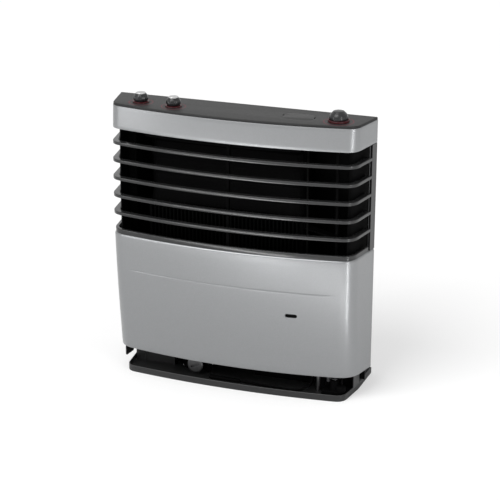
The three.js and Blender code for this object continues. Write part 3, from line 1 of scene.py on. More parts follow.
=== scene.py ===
# %% [markdown]
# # A wall mounted gas heater, dressed for a studio picture
# The imported model gives every solid its place and size. This script keeps those sizes and gives
# each piece its finer shape and its finish: satin silver paint on the bowed cladding, moulded
# louvres, turning knobs with red rings that carry a painted glow, and the sheet metal and castings behind them.
# The frame comes first, because everything else is measured from it.

# %% Load the imported frame
import json
import math

import bmesh
import bpy
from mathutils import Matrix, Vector


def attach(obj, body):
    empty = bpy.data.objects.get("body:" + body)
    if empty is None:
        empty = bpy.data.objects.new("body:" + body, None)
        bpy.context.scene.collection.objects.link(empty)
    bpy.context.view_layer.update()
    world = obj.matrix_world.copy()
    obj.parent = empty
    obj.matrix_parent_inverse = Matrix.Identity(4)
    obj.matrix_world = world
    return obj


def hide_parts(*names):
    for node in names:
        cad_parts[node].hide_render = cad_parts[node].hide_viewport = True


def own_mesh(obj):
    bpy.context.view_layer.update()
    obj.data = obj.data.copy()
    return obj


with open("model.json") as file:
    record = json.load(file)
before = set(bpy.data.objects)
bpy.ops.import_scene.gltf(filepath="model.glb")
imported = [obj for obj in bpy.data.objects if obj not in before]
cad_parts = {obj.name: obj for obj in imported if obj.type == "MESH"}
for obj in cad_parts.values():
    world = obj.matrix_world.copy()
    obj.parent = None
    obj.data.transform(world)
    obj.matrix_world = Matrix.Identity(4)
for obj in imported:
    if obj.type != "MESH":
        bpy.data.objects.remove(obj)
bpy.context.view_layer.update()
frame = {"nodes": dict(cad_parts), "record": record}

MM = 0.001
nodes = frame["nodes"]

# %% [markdown]
# ## Camera
# The picture was taken from the right and above with a long lens, so the upright edges stay
# nearly parallel. A camera can be turned by hand until it fits, but a place, a target and a
# focal length are easier to check, so the camera is aimed by a vector that runs to its target.

# %% Camera
CAMERA_PLACE = Vector((1.1030, -2.9368, 1.3549))
CAMERA_TARGET = Vector((0.02195, -0.0400, 0.2536))
CAMERA_LENS = 133.56

camera_data = bpy.data.cameras.new("camera")
camera_data.lens = CAMERA_LENS
camera_data.sensor_width = 36.0
camera_data.clip_end = 50.0
camera = bpy.data.objects.new("camera", camera_data)
camera.location = CAMERA_PLACE
camera.rotation_euler = (CAMERA_TARGET - CAMERA_PLACE).to_track_quat("-Z", "Y").to_euler()
bpy.context.collection.objects.link(camera)
bpy.context.scene.camera = camera
print("camera: lens", CAMERA_LENS, "mm, distance", round((CAMERA_PLACE - CAMERA_TARGET).length, 3), "m")

# %% [markdown]
# ## Nodes in one line
# The world, the finishes and the grown shapes are all node trees. Each node is made in one line,
# with its inputs given by order or by name. A value is set on the socket, and another node's
# output is linked to it, so a line reads like a formula and there is no list of links to follow.

# %% Node helpers
COLOR, FLOAT, VECTOR = "NodeSocketColor", "NodeSocketFloat", "NodeSocketVector"
MATERIAL, INTEGER = "NodeSocketMaterial", "NodeSocketInt"
RGBA = 1.0
MID_GREY = (0.5, 0.5, 0.5, RGBA)


def put(tree, socket, value):
    """Sets an input socket, or links it if the value is another node's output."""
    if isinstance(value, bpy.types.NodeSocket):
        tree.links.new(value, socket)
    else:
        socket.default_value = value


def add_node(tree, kind, *values, settings={}, **named):
    """A node with settings on itself, and values or links on its inputs."""
    node = tree.nodes.new(kind)
    for key, value in settings.items():
        setattr(node, key, value)
    for key, value in enumerate(values):
        put(tree, node.inputs[key], value)
    for key, value in named.items():
        put(tree, node.inputs[key.replace("_", " ")], value)
    return node


def math_node(tree, operation, *values):
    return add_node(tree, "ShaderNodeMath", *values, settings={"operation": operation}).outputs[0]


def vector_node(tree, operation, *values, **named):
    return add_node(tree, "ShaderNodeVectorMath", *values, settings={"operation": operation}, **named)


def map_range(tree, value, low, high, to_low=0.0, to_high=1.0):
    return add_node(tree, "ShaderNodeMapRange", value, low, high, to_low, to_high).outputs["Result"]


def mix_colors(tree, factor, first, second):
    node = add_node(tree, "ShaderNodeMix", factor, settings={"data_type": "RGBA"})
    put(tree, node.inputs[6], first)
    put(tree, node.inputs[7], second)
    return node.outputs[2]


print("node helpers ready")

# %% [markdown]
# ## Light and floor
# Satin paint and moulded plastic show the room more than the lamps, so the world does most of the
# work: an even pale room. Two upright soft boxes give the cladding its bright bands at the left
# and on the right-hand corner, and a large soft sun throws the floor shadow. In the photo the slats
# and the lower panel mirror bright patches of the studio's floor. Those are lamps that lie on the
# floor in front of the heater, hidden from the camera. A brighter world would fill every dark gap.

# %% World
ROOM_LEVEL = 0.62                  # how strongly the room lights matt surfaces
REFLECTED_LEVEL = 0.92             # what gloss and metal see of it

scene = bpy.context.scene
scene.view_settings.view_transform = "Standard"
world = bpy.data.worlds.new("studio")
scene.world = world
world.use_nodes = True
sky = world.node_tree
background = sky.nodes["Background"]
background.inputs["Color"].default_value = (1.0, 1.0, 1.0, RGBA)
paths = sky.nodes.new("ShaderNodeLightPath").outputs
mirrored = math_node(sky, "MAXIMUM", paths["Is Glossy Ray"], paths["Is Transmission Ray"])
level = add_node(sky, "ShaderNodeMix", mirrored, A=ROOM_LEVEL, B=REFLECTED_LEVEL)
seen = add_node(sky, "ShaderNodeMix", paths["Is Camera Ray"], A=level.outputs["Result"], B=1.0)
put(sky, background.inputs["Strength"], seen.outputs["Result"])
print("world: room", ROOM_LEVEL, "reflected", REFLECTED_LEVEL)

# %% Lamps
STRIP_UP = 0.004


def new_lamp(name, kind, power, place, aim):
    lamp = bpy.data.objects.new(name, bpy.data.lights.new(name, kind))
    lamp.data.energy = power
    lamp.location = place
    lamp.rotation_euler = aim.to_track_quat("-Z", "Y").to_euler()
    bpy.context.collection.objects.link(lamp)
    return lamp


def soft_box(name, place, target, size, power):
    """A rectangular lamp that faces a point."""
    lamp = new_lamp(name, "AREA", power, place, Vector(target) - Vector(place))
    lamp.data.shape = "RECTANGLE"
    lamp.data.size, lamp.data.size_y = size
    return lamp


def floor_strip(name, start, end, width, power):
    """A lamp that lies on the floor and faces up, seen only in the gloss of the fronts."""
    start, end = Vector((*start, STRIP_UP)), Vector((*end, STRIP_UP))
    middle = (start + end) / 2
    lamp = soft_box(name, middle, middle + Vector((0, 0, 1)), ((end - start).length, width), power)
    lamp.rotation_euler = (math.pi, 0, math.atan2(end.y - start.y, end.x - start.x))
    lamp.visible_camera = False


soft_box("box_left", (-1.75, -1.7, 0.75), (-0.1, -0.1, 0.3), (0.26, 1.5), 6.5)
soft_box("box_right", (1.72, -1.25, 0.6), (0.2, -0.05, 0.3), (0.25, 1.8), 13.5)
floor_strip("strip_near", (0.44, -0.38), (0.02, -0.78), 0.18, 0.85)
floor_strip("strip_middle", (0.03, -0.83), (-0.445, -1.17), 0.13, 2.9)
floor_strip("strip_far", (-0.45, -1.175), (-0.96, -1.375), 0.13, 2.4)
floor_strip("strip_corner", (0.44, -0.26), (0.96, -0.66), 0.05, 1.3)
sun = new_lamp("sun", "SUN", 1.9, (0, 0, 0), Vector((0.35, 0.75, -0.95)))
sun.data.angle = math.radians(40)

# %% Floor
FLOOR_HALF = 12.0
FLOOR_SHARE = 0.42                 # share of the floor's own light that hides its edge

floor_mesh = bpy.data.meshes.new("floor")
floor_mesh.from_pydata([(-FLOOR_HALF, -FLOOR_HALF, 0), (FLOOR_HALF, -FLOOR_HALF, 0),
                        (FLOOR_HALF, FLOOR_HALF, 0), (-FLOOR_HALF, FLOOR_HALF, 0)], [], [(0, 1, 2, 3)])
floor = bpy.data.objects.new("floor", floor_mesh)
bpy.context.collection.objects.link(floor)
floor_paint = bpy.data.materials.new("floor_paint")
floor_paint.use_nodes = True
tree = floor_paint.node_tree
tree.nodes.remove(tree.nodes["Principled BSDF"])
matt = add_node(tree, "ShaderNodeBsdfDiffuse", Color=(0.96, 0.96, 0.96, RGBA))
glow = add_node(tree, "ShaderNodeEmission", Color=(1.0, 1.0, 1.0, RGBA))
share = math_node(tree, "MULTIPLY", tree.nodes.new("ShaderNodeLightPath").outputs["Is Camera Ray"], FLOOR_SHARE)
blend = add_node(tree, "ShaderNodeMixShader", share, matt.outputs[0], glow.outputs[0])
put(tree, tree.nodes["Material Output"].inputs["Surface"], blend.outputs[0])
floor_mesh.materials.append(floor_paint)
print("floor:", 2 * FLOOR_HALF, "m square")

# %% [markdown]
# ## Surface effects as shader groups
# Paint, mouldings, rolled sheet and castings differ in a few effects only: a slow drift of tone,
# a fine grain, flakes in paint, and lines along rolled sheet. Each effect is a node group that
# gives a colour or a height. Copying the nodes into each material would work too, but a group is
# corrected once for all the finishes that use it.

# %% Helpers for shader groups


def shader_group(name, inputs, outputs):
    """A new group, what it is given, and the sockets for what it makes."""
    group = bpy.data.node_groups.new(name, "ShaderNodeTree")
    for label, kind, value in inputs:
        group.interface.new_socket(label, in_out="INPUT", socket_type=kind).default_value = value
    for label, kind in outputs:
        group.interface.new_socket(label, in_out="OUTPUT", socket_type=kind)
    print("group:", name)
    return group, group.nodes.new("NodeGroupInput").outputs, group.nodes.new("NodeGroupOutput").inputs


def object_coordinates(tree):
    return tree.nodes.new("ShaderNodeTexCoord").outputs["Object"]


def surface_normal(tree):
    return tree.nodes.new("ShaderNodeNewGeometry").outputs["Normal"]


def tinted(tree, color, value, amount):
    """The colour, lighter or darker by how far a value is from a half."""
    factor = math_node(tree, "MULTIPLY_ADD", math_node(tree, "SUBTRACT", value, 0.5), amount, 1.0)
    return vector_node(tree, "SCALE", color, Scale=factor).outputs[0]


print("shader helpers ready")

# %% Tone drift: a slow change of lightness over the surface
group, given, made = shader_group(
    "tone_drift", [("Color", COLOR, MID_GREY), ("Scale", FLOAT, 12.0), ("Amount", FLOAT, 0.05)],
    [("Color", COLOR)],
)
noise = add_node(group, "ShaderNodeTexNoise", Vector=object_coordinates(group), Scale=given["Scale"],
                 Detail=3.0, Roughness=0.55)
put(group, made["Color"], tinted(group, given["Color"], noise.outputs["Fac"], given["Amount"]))
tone_drift = group

# %% Moulded grain: the fine spark texture of a plastic moulding
group, given, made = shader_group(
    "moulded_grain", [("Scale", FLOAT, 1500.0), ("Softness", FLOAT, 0.5)], [("Height", FLOAT)],
)
place = {"Vector": object_coordinates(group), "Scale": given["Scale"]}
cells = add_node(group, "ShaderNodeTexVoronoi", settings={"feature": "SMOOTH_F1"}, Smoothness=0.8, **place)
noise = add_node(group, "ShaderNodeTexNoise", Detail=2.0, **place)
mixed = add_node(group, "ShaderNodeMix", given["Softness"], A=cells.outputs["Distance"], B=noise.outputs["Fac"])
put(group, made["Height"], mixed.outputs["Result"])
moulded_grain = group

# %% Paint flake: metal flakes that lie at slightly different angles in the paint
group, given, made = shader_group(
    "paint_flake", [("Color", COLOR, MID_GREY), ("Scale", FLOAT, 2600.0), ("Amount", FLOAT, 0.12)],
    [("Color", COLOR)],
)
flakes = add_node(group, "ShaderNodeTexVoronoi", Vector=object_coordinates(group), Scale=given["Scale"])
single = add_node(group, "ShaderNodeSeparateColor", flakes.outputs["Color"])
put(group, made["Color"], tinted(group, given["Color"], single.outputs["Red"], given["Amount"]))
paint_flake = group

# %% Drawn lines: the long fine marks left by rolling or turning metal
group, given, made = shader_group(
    "drawn_lines", [("Stretch", VECTOR, (20.0, 20.0, 900.0)), ("Detail", FLOAT, 3.0)], [("Height", FLOAT)],
)
scaled = vector_node(group, "MULTIPLY", object_coordinates(group), given["Stretch"]).outputs[0]
noise = add_node(group, "ShaderNodeTexNoise", Vector=scaled, Scale=1.0, Detail=given["Detail"], Roughness=0.6)
put(group, made["Height"], noise.outputs["Fac"])
drawn_lines = group

# %% Dust and top light: a thin pale film on faces that look up, partly dust and partly painted light on the tops
group, given, made = shader_group(
    "dust_and_top_light",
    [("Color", COLOR, MID_GREY), ("Dust and light", COLOR, (0.42, 0.418, 0.41, RGBA)), ("Amount", FLOAT, 0.2)],
    [("Color", COLOR)],
)
facing = add_node(group, "ShaderNodeSeparateXYZ", surface_normal(group))
upward = map_range(group, facing.outputs["Z"], 0.55, 0.98)
noise = add_node(group, "ShaderNodeTexNoise", Vector=object_coordinates(group), Scale=160.0, Detail=5.0,
                 Roughness=0.65)
patches = math_node(group, "MULTIPLY", upward, noise.outputs["Fac"])
mask = math_node(group, "MULTIPLY", patches, given["Amount"])
put(group, made["Color"], mix_colors(group, mask, given["Color"], given["Dust and light"]))
dust_and_top_light = group

# %% [markdown]
# ## Finishes
# Every finish is a Principled shader with its own roughness, and one or two of the groups above.
# Colours are linear values. Real parts of one plastic vary a little, so each carries a slow drift
# of tone, and its grain is a bump of hundredths of a millimetre, which only softens highlights.

# %% Helpers for finishes
finishes = {}


def new_finish(name, color, roughness, metallic=0.0, specular=0.5):
    material = bpy.data.materials.new(name)
    material.use_nodes = True
    finishes[name] = material
    tree = material.node_tree
    shader = tree.nodes["Principled BSDF"]
    values = {"Base Color": (*color, RGBA), "Roughness": roughness, "Metallic": metallic,
              "Specular IOR Level": specular}
    for label, value in values.items():
        shader.inputs[label].default_value = value
    return tree, shader.inputs


def place_group(tree, group, **values):
    return add_node(tree, "ShaderNodeGroup", settings={"node_tree": group}, **values).outputs


def toned(tree, color, scale, amount):
    return place_group(tree, tone_drift, Color=(*color, RGBA), Scale=scale, Amount=amount)["Color"]


def give_bump(tree, surface, height, distance_mm, strength=1.0):
    bump = add_node(tree, "ShaderNodeBump", Strength=strength, Distance=distance_mm * MM, Height=height)
    put(tree, surface["Normal"], bump.outputs["Normal"])


def give_coat(surface, weight, roughness):
    surface["Coat Weight"].default_value = weight
    surface["Coat Roughness"].default_value = roughness


def vary_roughness(tree, surface, height, low, high):
    put(tree, surface["Roughness"], map_range(tree, height, 0.3, 0.7, low, high))


def plastic(name, color, roughness, grain_mm=0.02, grain_scale=1400.0, dust_and_light=0.12, specular=0.5):
    """A moulding: drifting tone, spark grain, and a pale film on top, partly dust and partly painted light."""
    tree, surface = new_finish(name, color, roughness, specular=specular)
    film = place_group(tree, dust_and_top_light, Color=toned(tree, color, 9.0, 0.1), Amount=dust_and_light)
    grain = place_group(tree, moulded_grain, Scale=grain_scale, Softness=0.45)
    put(tree, surface["Base Color"], film["Color"])
    vary_roughness(tree, surface, grain["Height"], roughness - 0.05, roughness + 0.07)
    give_bump(tree, surface, grain["Height"], grain_mm)
    return surface


def bare_metal(name, color, roughness, stretch, depth_mm=0.01, metallic=1.0, streak=0.1, specular=0.5):
    """Rolled, drawn or turned metal: lines along one way, and a streaky roughness."""
    tree, surface = new_finish(name, color, roughness, metallic, specular)
    lines = place_group(tree, drawn_lines, Stretch=stretch, Detail=4.0)
    put(tree, surface["Base Color"], toned(tree, color, 24.0, 0.22))
    vary_roughness(tree, surface, lines["Height"], roughness - streak / 2, roughness + streak)
    give_bump(tree, surface, lines["Height"], depth_mm, 0.6)


print("finish helpers ready")

# %% Silver paint
SILVER = (0.238, 0.243, 0.248)


def build_silver(name, color, roughness):
    """Metallic paint: flakes under a thin satin lacquer, over the faint ripple of the moulding."""
    tree, surface = new_finish(name, color, roughness, metallic=0.72)
    give_coat(surface, 0.12, 0.3)
    flake = place_group(tree, paint_flake, Color=toned(tree, color, 5.0, 0.05), Scale=2300.0, Amount=0.16)
    put(tree, surface["Base Color"], flake["Color"])
    ripple = place_group(tree, moulded_grain, Scale=420.0, Softness=1.0)
    vary_roughness(tree, surface, ripple["Height"], roughness - 0.03, roughness + 0.05)
    give_bump(tree, surface, ripple["Height"], 0.012, 0.7)


build_silver("silver_paint", SILVER, 0.33)
build_silver("knob_silver", (0.52, 0.52, 0.52), 0.36)
print("finish: silver paint", SILVER)

# %% Mouldings
plastic("grille_plastic", (0.011, 0.0113, 0.0118), 0.15, grain_mm=0.003, dust_and_light=0.04)
# The cap's pale film is mostly painted light: it makes the top lighter than the rim.
plastic("cap_plastic", (0.0105, 0.0107, 0.0109), 0.50, grain_mm=0.03, dust_and_light=0.085, specular=0.25)
plastic("tray_plastic", (0.012, 0.0122, 0.0126), 0.42, dust_and_light=0.03, specular=0.4)
# Black plastic is darker than real black plastic: painted shade for the dark inside the casing.
plastic("black_plastic", (0.0008, 0.0008, 0.0009), 0.65, dust_and_light=0.0, specular=0.03)
plastic("window_black", (0.0008, 0.0008, 0.0008), 0.35, grain_mm=0.001, dust_and_light=0.0, specular=0.05)
gloss = plastic("knob_black", (0.012, 0.012, 0.013), 0.30, grain_mm=0.003, dust_and_light=0.03, specular=0.32)
give_coat(gloss, 0.12, 0.10)
plastic("cell_wrap", (0.030, 0.034, 0.045), 0.28, grain_mm=0.004, dust_and_light=0.0)
# The cable's jacket is darkened the same way, as painted shade.
plastic("cable_jacket", (0.0015, 0.0015, 0.0015), 0.65, grain_scale=900.0, dust_and_light=0.0, specular=0.05)
plastic("ceramic", (0.72, 0.70, 0.65), 0.22, grain_mm=0.004)
print("finishes:", len(finishes))

# %% Printed scale rings on the cap
FAN_KNOBS = ((-178.0, -51.0), (-113.5, -57.5))
THERMOSTAT = (186.0, -51.0)
PRINT_RED, PRINT_UP = (0.15, 0.018, 0.032), 508.0
PRINTS = [(FAN_KNOBS[0], 21.0), (FAN_KNOBS[1], 21.0), (THERMOSTAT, 25.5)]

material = finishes["cap_plastic"].copy()
material.name = "cap_printed"
finishes["cap_printed"] = material
tree = material.node_tree
base_color = tree.nodes["Principled BSDF"].inputs["Base Color"]
color, where = base_color.links[0].from_socket, object_coordinates(tree)
for (x, y), radius in PRINTS:
    gap = vector_node(tree, "DISTANCE", where, (x * MM, y * MM, PRINT_UP * MM)).outputs["Value"]
    off_line = math_node(tree, "ABSOLUTE", math_node(tree, "SUBTRACT", gap, radius * MM))
    printed = map_range(tree, off_line, 0.6 * MM, 1.1 * MM, 0.75, 0.0)
    color = mix_colors(tree, printed, color, (*PRINT_RED, RGBA))
put(tree, base_color, color)
print("finish: cap with scale rings round", len(PRINTS), "knobs")

# %% Red rings with a painted glow
# The rings are clear red plastic, and their finish gives out a faint light of its own: a painted glow, as no lamp
# lights them.
tree, surface = new_finish("ring_red", (0.022, 0.0012, 0.003), 0.40, specular=0.2)
surface["Coat Weight"].default_value = 0.1
surface["Emission Strength"].default_value = 0.016
put(tree, surface["Emission Color"], toned(tree, (0.85, 0.018, 0.045), 140.0, 0.7))
print("finish: red rings")

# %% Metals
bare_metal("zinc_sheet", (0.42, 0.43, 0.45), 0.38, (60.0, 60.0, 60.0), depth_mm=0.02, streak=0.16)
bare_metal("steel", (0.16, 0.16, 0.163), 0.32, (900.0, 900.0, 25.0))
bare_metal("brass", (0.56, 0.42, 0.20), 0.28, (900.0, 900.0, 40.0))
bare_metal("cast_aluminium", (0.115, 0.115, 0.117), 0.45, (700.0, 700.0, 700.0), depth_mm=0.05)
# The dark sheet and the casting are darker than any paint or cast iron: painted shade, so that parts inside the
# casing show black.
bare_metal("dark_sheet", (0.0015, 0.0015, 0.0016), 0.65, (30.0, 30.0, 500.0), metallic=0.0, specular=0.04)
bare_metal("casting", (0.0012, 0.0012, 0.0013), 0.75, (480.0, 480.0, 480.0), 0.25, metallic=0.0, specular=0.04)
print("finishes:", len(finishes))

# %% Sheet of the rear box
# Its outer faces are grey; its inner faces are painted black, a painted shade for the dark that the gaps between the
# slats show.
BOX_CENTRE = (0.0, -0.2, 0.24)    # in front of the flange, so that the flange counts as an inner face

tree, surface = new_finish("box_sheet_shaded_inside", (0.03, 0.031, 0.032), 0.55, specular=0.06)
outward = vector_node(tree, "SUBTRACT", object_coordinates(tree), BOX_CENTRE).outputs[0]
facing = vector_node(tree, "DOT_PRODUCT", outward, surface_normal(tree)).outputs["Value"]
outside = map_range(tree, facing, -0.002, 0.002)
grey = toned(tree, (0.045, 0.046, 0.048), 7.0, 0.25)
# The near-black colour of the inner faces, and of the flange, is painted shade.
put(tree, surface["Base Color"], mix_colors(tree, outside, (0.001, 0.001, 0.0011, RGBA), grey))
lines = place_group(tree, drawn_lines, Stretch=(40.0, 40.0, 600.0), Detail=4.0)
vary_roughness(tree, surface, lines["Height"], 0.5, 0.65)
give_bump(tree, surface, lines["Height"], 0.01, 0.6)
print("finish: sheet of the rear box, grey outside and black inside")

# %% Sight glass
GLASS = (0.55, 0.58, 0.60)

tree, surface = new_finish("glass", GLASS, 0.08)
surface["Transmission Weight"].default_value = 0.7
surface["IOR"].default_value = 1.47
put(tree, surface["Base Color"], toned(tree, GLASS, 80.0, 0.2))
print("finish: glass")

# %% [markdown]
# ## Finishes on the imported nodes
# Sheet metal, castings and blocks have their true shape already. They keep their solid and only
# take a finish, by the slot that the record names for each node. A few take another finish: the rear box and the rod
# guide a near-black one, as painted shade in the dark inside, and the brackets and the left baffle the tray's
# plastic.

# %% Dress the nodes
slot_of = {entry["node"]: entry["material_slot"] for entry in frame["record"]["subparts"]}
finish_of = {**slot_of, "installation_box": "box_sheet_shaded_inside", "rod_guide": "dark_sheet",
             "bracket_left": "tray_plastic", "bracket_right": "tray_plastic", "baffle_left": "tray_plastic"}
for node_name, node in nodes.items():
    node.data.materials.clear()
    node.data.materials.append(finishes[finish_of[node_name]])
print("dressed:", len(slot_of), "nodes with", len(set(slot_of.values())), "finishes")

# %% [markdown]
# ## Making meshes
# A few helpers make all the shapes: a skin over rings of points, a turned form, a tube along a
# path, and a cut with another mesh. Sizes are written in millimetres, as on a drawing, and the
# helpers turn them into metres. Doubles are merged and the faces turned outwards before shading.

# %% Mesh helpers
SMOOTH_ANGLE = math.radians(32)
MERGE = 1e-6
TURN_STEPS = 96
AXIS_RADIUS = 1e-4                 # a turned form's points on its axis stand this far from it, in mm


def finish_mesh(mesh):
    """Merges doubles, turns faces outwards, and shades smooth except across sharp edges."""
    work = bmesh.new()
    work.from_mesh(mesh)
    bmesh.ops.remove_doubles(work, verts=work.verts, dist=MERGE)
    bmesh.ops.dissolve_degenerate(work, edges=work.edges, dist=MERGE)
    bmesh.ops.recalc_face_normals(work, faces=work.faces)
    work.to_mesh(mesh)
    work.free()
    mesh.shade_smooth()
    mesh.set_sharp_from_angle(angle=SMOOTH_ANGLE)


def raw_piece(name, points, edges, faces):
    """An object from points in millimetres."""
    mesh = bpy.data.meshes.new(name)
    mesh.from_pydata([tuple(c * MM for c in p) for p in points], edges, faces)
    piece = bpy.data.objects.new(name, mesh)
    bpy.context.collection.objects.link(piece)
    return piece


def new_piece(name, points, faces):
    piece = raw_piece(name, points, [], faces)
    finish_mesh(piece.data)
    return piece


def skin_faces(ring_count, size, capped=True):
    """Quads from each ring to the next, and a flat face on each end."""
    faces = [(i * size + j, i * size + (j + 1) % size, (i + 1) * size + (j + 1) % size, (i + 1) * size + j)
             for i in range(ring_count - 1) for j in range(size)]
    if capped:
        faces.append(tuple(range(size))[::-1])
        faces.append(tuple((ring_count - 1) * size + j for j in range(size)))
    return faces


def skin(name, rings):
    points = [p for ring in rings for p in ring]
    return new_piece(name, points, skin_faces(len(rings), len(rings[0])))


def spun(radius, height, angle, centre, along="Z"):
    """The point at a radius, height and angle about an axis through centre."""
    radius = max(radius, AXIS_RADIUS)
    x, y = radius * math.cos(angle), radius * math.sin(angle)
    local = {"X": (height, y, -x), "Y": (x, -height, y), "Z": (x, y, height)}[along]
    return [a + b for a, b in zip(local, centre)]


def full_turn(steps):
    return [2 * math.pi * i / steps for i in range(steps)]


def turned(name, profile, centre, steps=TURN_STEPS, along="Z"):
    """A form turned about an axis through centre; profile points are (radius, height)."""
    return skin(name, [[spun(r, h, angle, centre, along) for angle in full_turn(steps)] for r, h in profile])


def ring_turned(name, profile, centre):
    """A turned ring: the closed profile doesn't reach the axis."""
    points = [spun(r, h, angle, centre) for angle in full_turn(TURN_STEPS) for r, h in profile]
    size, last = len(profile), (TURN_STEPS - 1) * len(profile)
    faces = skin_faces(TURN_STEPS, size, capped=False)
    faces += [(last + j, last + (j + 1) % size, (j + 1) % size, j) for j in range(size)]
    return new_piece(name, points, faces)


def applied(piece):
    """Turns a piece's modifiers into plain mesh."""
    graph = bpy.context.evaluated_depsgraph_get()
    mesh = bpy.data.meshes.new_from_object(piece.evaluated_get(graph))
    piece.modifiers.clear()
    piece.data = mesh
    finish_mesh(mesh)
    return piece


def carve(piece, cutters, operation="DIFFERENCE"):
    """Cuts other meshes out of a piece, or joins them to it, and removes them."""
    for cutter in cutters:
        modifier = piece.modifiers.new("carve", "BOOLEAN")
        modifier.operation, modifier.solver, modifier.object = operation, "EXACT", cutter
    applied(piece)
    for cutter in cutters:
        bpy.data.objects.remove(cutter)
    return piece


def round_edges(piece, width_mm, segments=3, limit=35.0):
    bevel = piece.modifiers.new("rounding", "BEVEL")
    bevel.width, bevel.segments = width_mm * MM, segments
    bevel.limit_method, bevel.angle_limit = "ANGLE", math.radians(limit)
    return applied(piece)


print("mesh helpers ready")

# %% Plan outlines


def rounded_outline(length, width, radius, centre=(0.0, 0.0), arc_steps=10):
    """Points round a rectangle with rounded corners, anticlockwise."""
    points = []
    for quarter, (sx, sy) in enumerate([(1, -1), (1, 1), (-1, 1), (-1, -1)]):
        cx, cy = sx * (length / 2 - radius), sy * (width / 2 - radius)
        for step in range(arc_steps + 1):
            angle = math.radians(-90 + 90 * quarter + 90 * step / arc_steps)
            points.append((centre[0] + cx + radius * math.cos(angle), centre[1] + cy + radius * math.sin(angle)))
    return points


def prism(name, outline, z0, z1):
    return skin(name, [[(x, y, z) for x, y in outline] for z in (z0, z1)])


def box_piece(name, low, high):
    outline = [(low[0], low[1]), (high[0], low[1]), (high[0], high[1]), (low[0], high[1])]
    return prism(name, outline, low[2], high[2])


def dress(piece, finish_name, body="heater", instead_of=()):
    """Finish, slot and body of a piece, and the nodes that it stands for."""
    piece.data.materials.clear()
    piece.data.materials.append(finishes[finish_name])
    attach(piece, body)
    if instead_of:
        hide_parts(*instead_of)
    corners = [Vector(c) for c in piece.bound_box]
    low = [round(min(c[i] for c in corners) / MM, 1) for i in range(3)]
    high = [round(max(c[i] for c in corners) / MM, 1) for i in range(3)]
    print(f"{piece.name}: {low} to {high} mm, {len(piece.data.polygons)} faces")
    return piece


print("outline helpers ready")

# %% [markdown]
# ## Outline of the cladding
# Seen from above, the front is a shallow arch between two rounded corners, and the sides lean in
# towards the front. Seen from the side, the front bulges most at the foot of the grille. Every
# cladding piece follows this one outline, so it is written once, as a point that depends on a
# place along the outline, an inset from the outer face, and a height.

# %% Cladding outline
WIDTH, SIDE_TAPER, SIDE_LEAN, SIDE_CURVE = 480.0, 0.0064, 0.225, 0.0006
DEPTH_TOP, DEPTH_MIDDLE, DEPTH_BOTTOM = 96.8, 105.3, 88.6
FRONT_BOW, CORNER_TOP, CORNER_BOTTOM = 24.0, 16.0, 26.0
WALL, LIP, SEAT = 2.5, 9.0, 0.3
PANEL_FOOT, GRILLE_FOOT, GRILLE_HEAD, BAND_HEAD, CAP_HEAD = 46.0, 270.5, 463.0, 503.6, 508.0
POST_WIDTH = 16.0
CORNER_SWELL = (4.0, 8.5, 5.2)     # how far the corners stand out at foot, waist and head


def mix(a, b, t):
    return a + (b - a) * t


def through_levels(z, values):
    """A value on the parabola through one value at each of the cladding's three levels."""
    levels, total = (PANEL_FOOT, GRILLE_FOOT, BAND_HEAD), 0.0
    for height, share in zip(levels, values):
        for other in levels:
            if other != height:
                share *= (z - other) / (height - other)
        total += share
    return total


def front_depth(z):
    return through_levels(z, (DEPTH_BOTTOM, DEPTH_MIDDLE, DEPTH_TOP))


def side_point(depth, z):
    half = WIDTH / 2 - SIDE_TAPER * (BAND_HEAD - z)
    swell = through_levels(z, CORNER_SWELL) * (depth / 80.0) ** 1.5
    return Vector((half - SIDE_LEAN * depth - SIDE_CURVE * depth * depth + swell, -depth))


def front_point(x, z, corner_x):
    return Vector((x, -(front_depth(z) - FRONT_BOW * (x / corner_x) ** 2)))


def corner_at(z):
    """The sharp corner, and the two ends of its rounding."""
    depth = front_depth(z) - FRONT_BOW
    sharp = side_point(depth, z)
    rounding = mix(CORNER_BOTTOM, CORNER_TOP, (z - PANEL_FOOT) / (BAND_HEAD - PANEL_FOOT))
    return sharp, front_point(sharp.x - rounding, z, sharp.x), side_point(depth - rounding, z)


def half_outline(place, z):
    sharp, front, side = corner_at(z)
    if place <= 1:
        return front_point(front.x * place, z, sharp.x)
    if place >= 2:
        return side_point(-side.y * (3 - place), z)
    t = place - 1
    return front * (1 - t) ** 2 + sharp * 2 * t * (1 - t) + side * t * t


def outline_point(place, inset, z):
    """A point on the cladding; place runs from -3 at the left wall edge to 3 at the right."""
    nudge = 0.002
    reach = abs(place)
    point = half_outline(reach, z)
    along = half_outline(min(reach + nudge, 3), z) - half_outline(max(reach - nudge, 0), z)
    along.normalize()
    if reach >= 3:
        point.x -= inset / along.y
    elif reach == 0:
        point.y += inset
    else:
        point += Vector((-along.y, along.x)) * inset
    return (math.copysign(1, place) * point.x, point.y, z)


def place_from_wall(gap, z):
    return 3 - gap / -corner_at(z)[2].y


FRONT_STEPS, CORNER_STEPS, SIDE_STEPS = 26, 14, 8


def around_front(wall_gap=0.0):
    """Places round the front, as functions of height, that end a gap away from the wall."""
    right = [lambda z, t=i / FRONT_STEPS: t for i in range(FRONT_STEPS + 1)]
    right += [lambda z, t=1 + i / CORNER_STEPS: t for i in range(1, CORNER_STEPS + 1)]
    for i in range(1, SIDE_STEPS + 1):
        right.append(lambda z, t=i / SIDE_STEPS: mix(2, place_from_wall(wall_gap, z), t))
    left = [lambda z, f=f: -f(z) for f in reversed(right[1:])]
    return left + right


def swept(name, profile, places):
    """A profile of (inset, height) carried along the outline."""
    return skin(name, [[outline_point(place(z), inset, z) for inset, z in profile] for place in places])


def arc(centre, radius, start, end, steps=5):
    """Points on an arc of a profile, in degrees."""
    turn = [math.radians(mix(start, end, i / steps)) for i in range(steps + 1)]
    return [(centre[0] + radius * math.cos(a), centre[1] + radius * math.sin(a)) for a in turn]


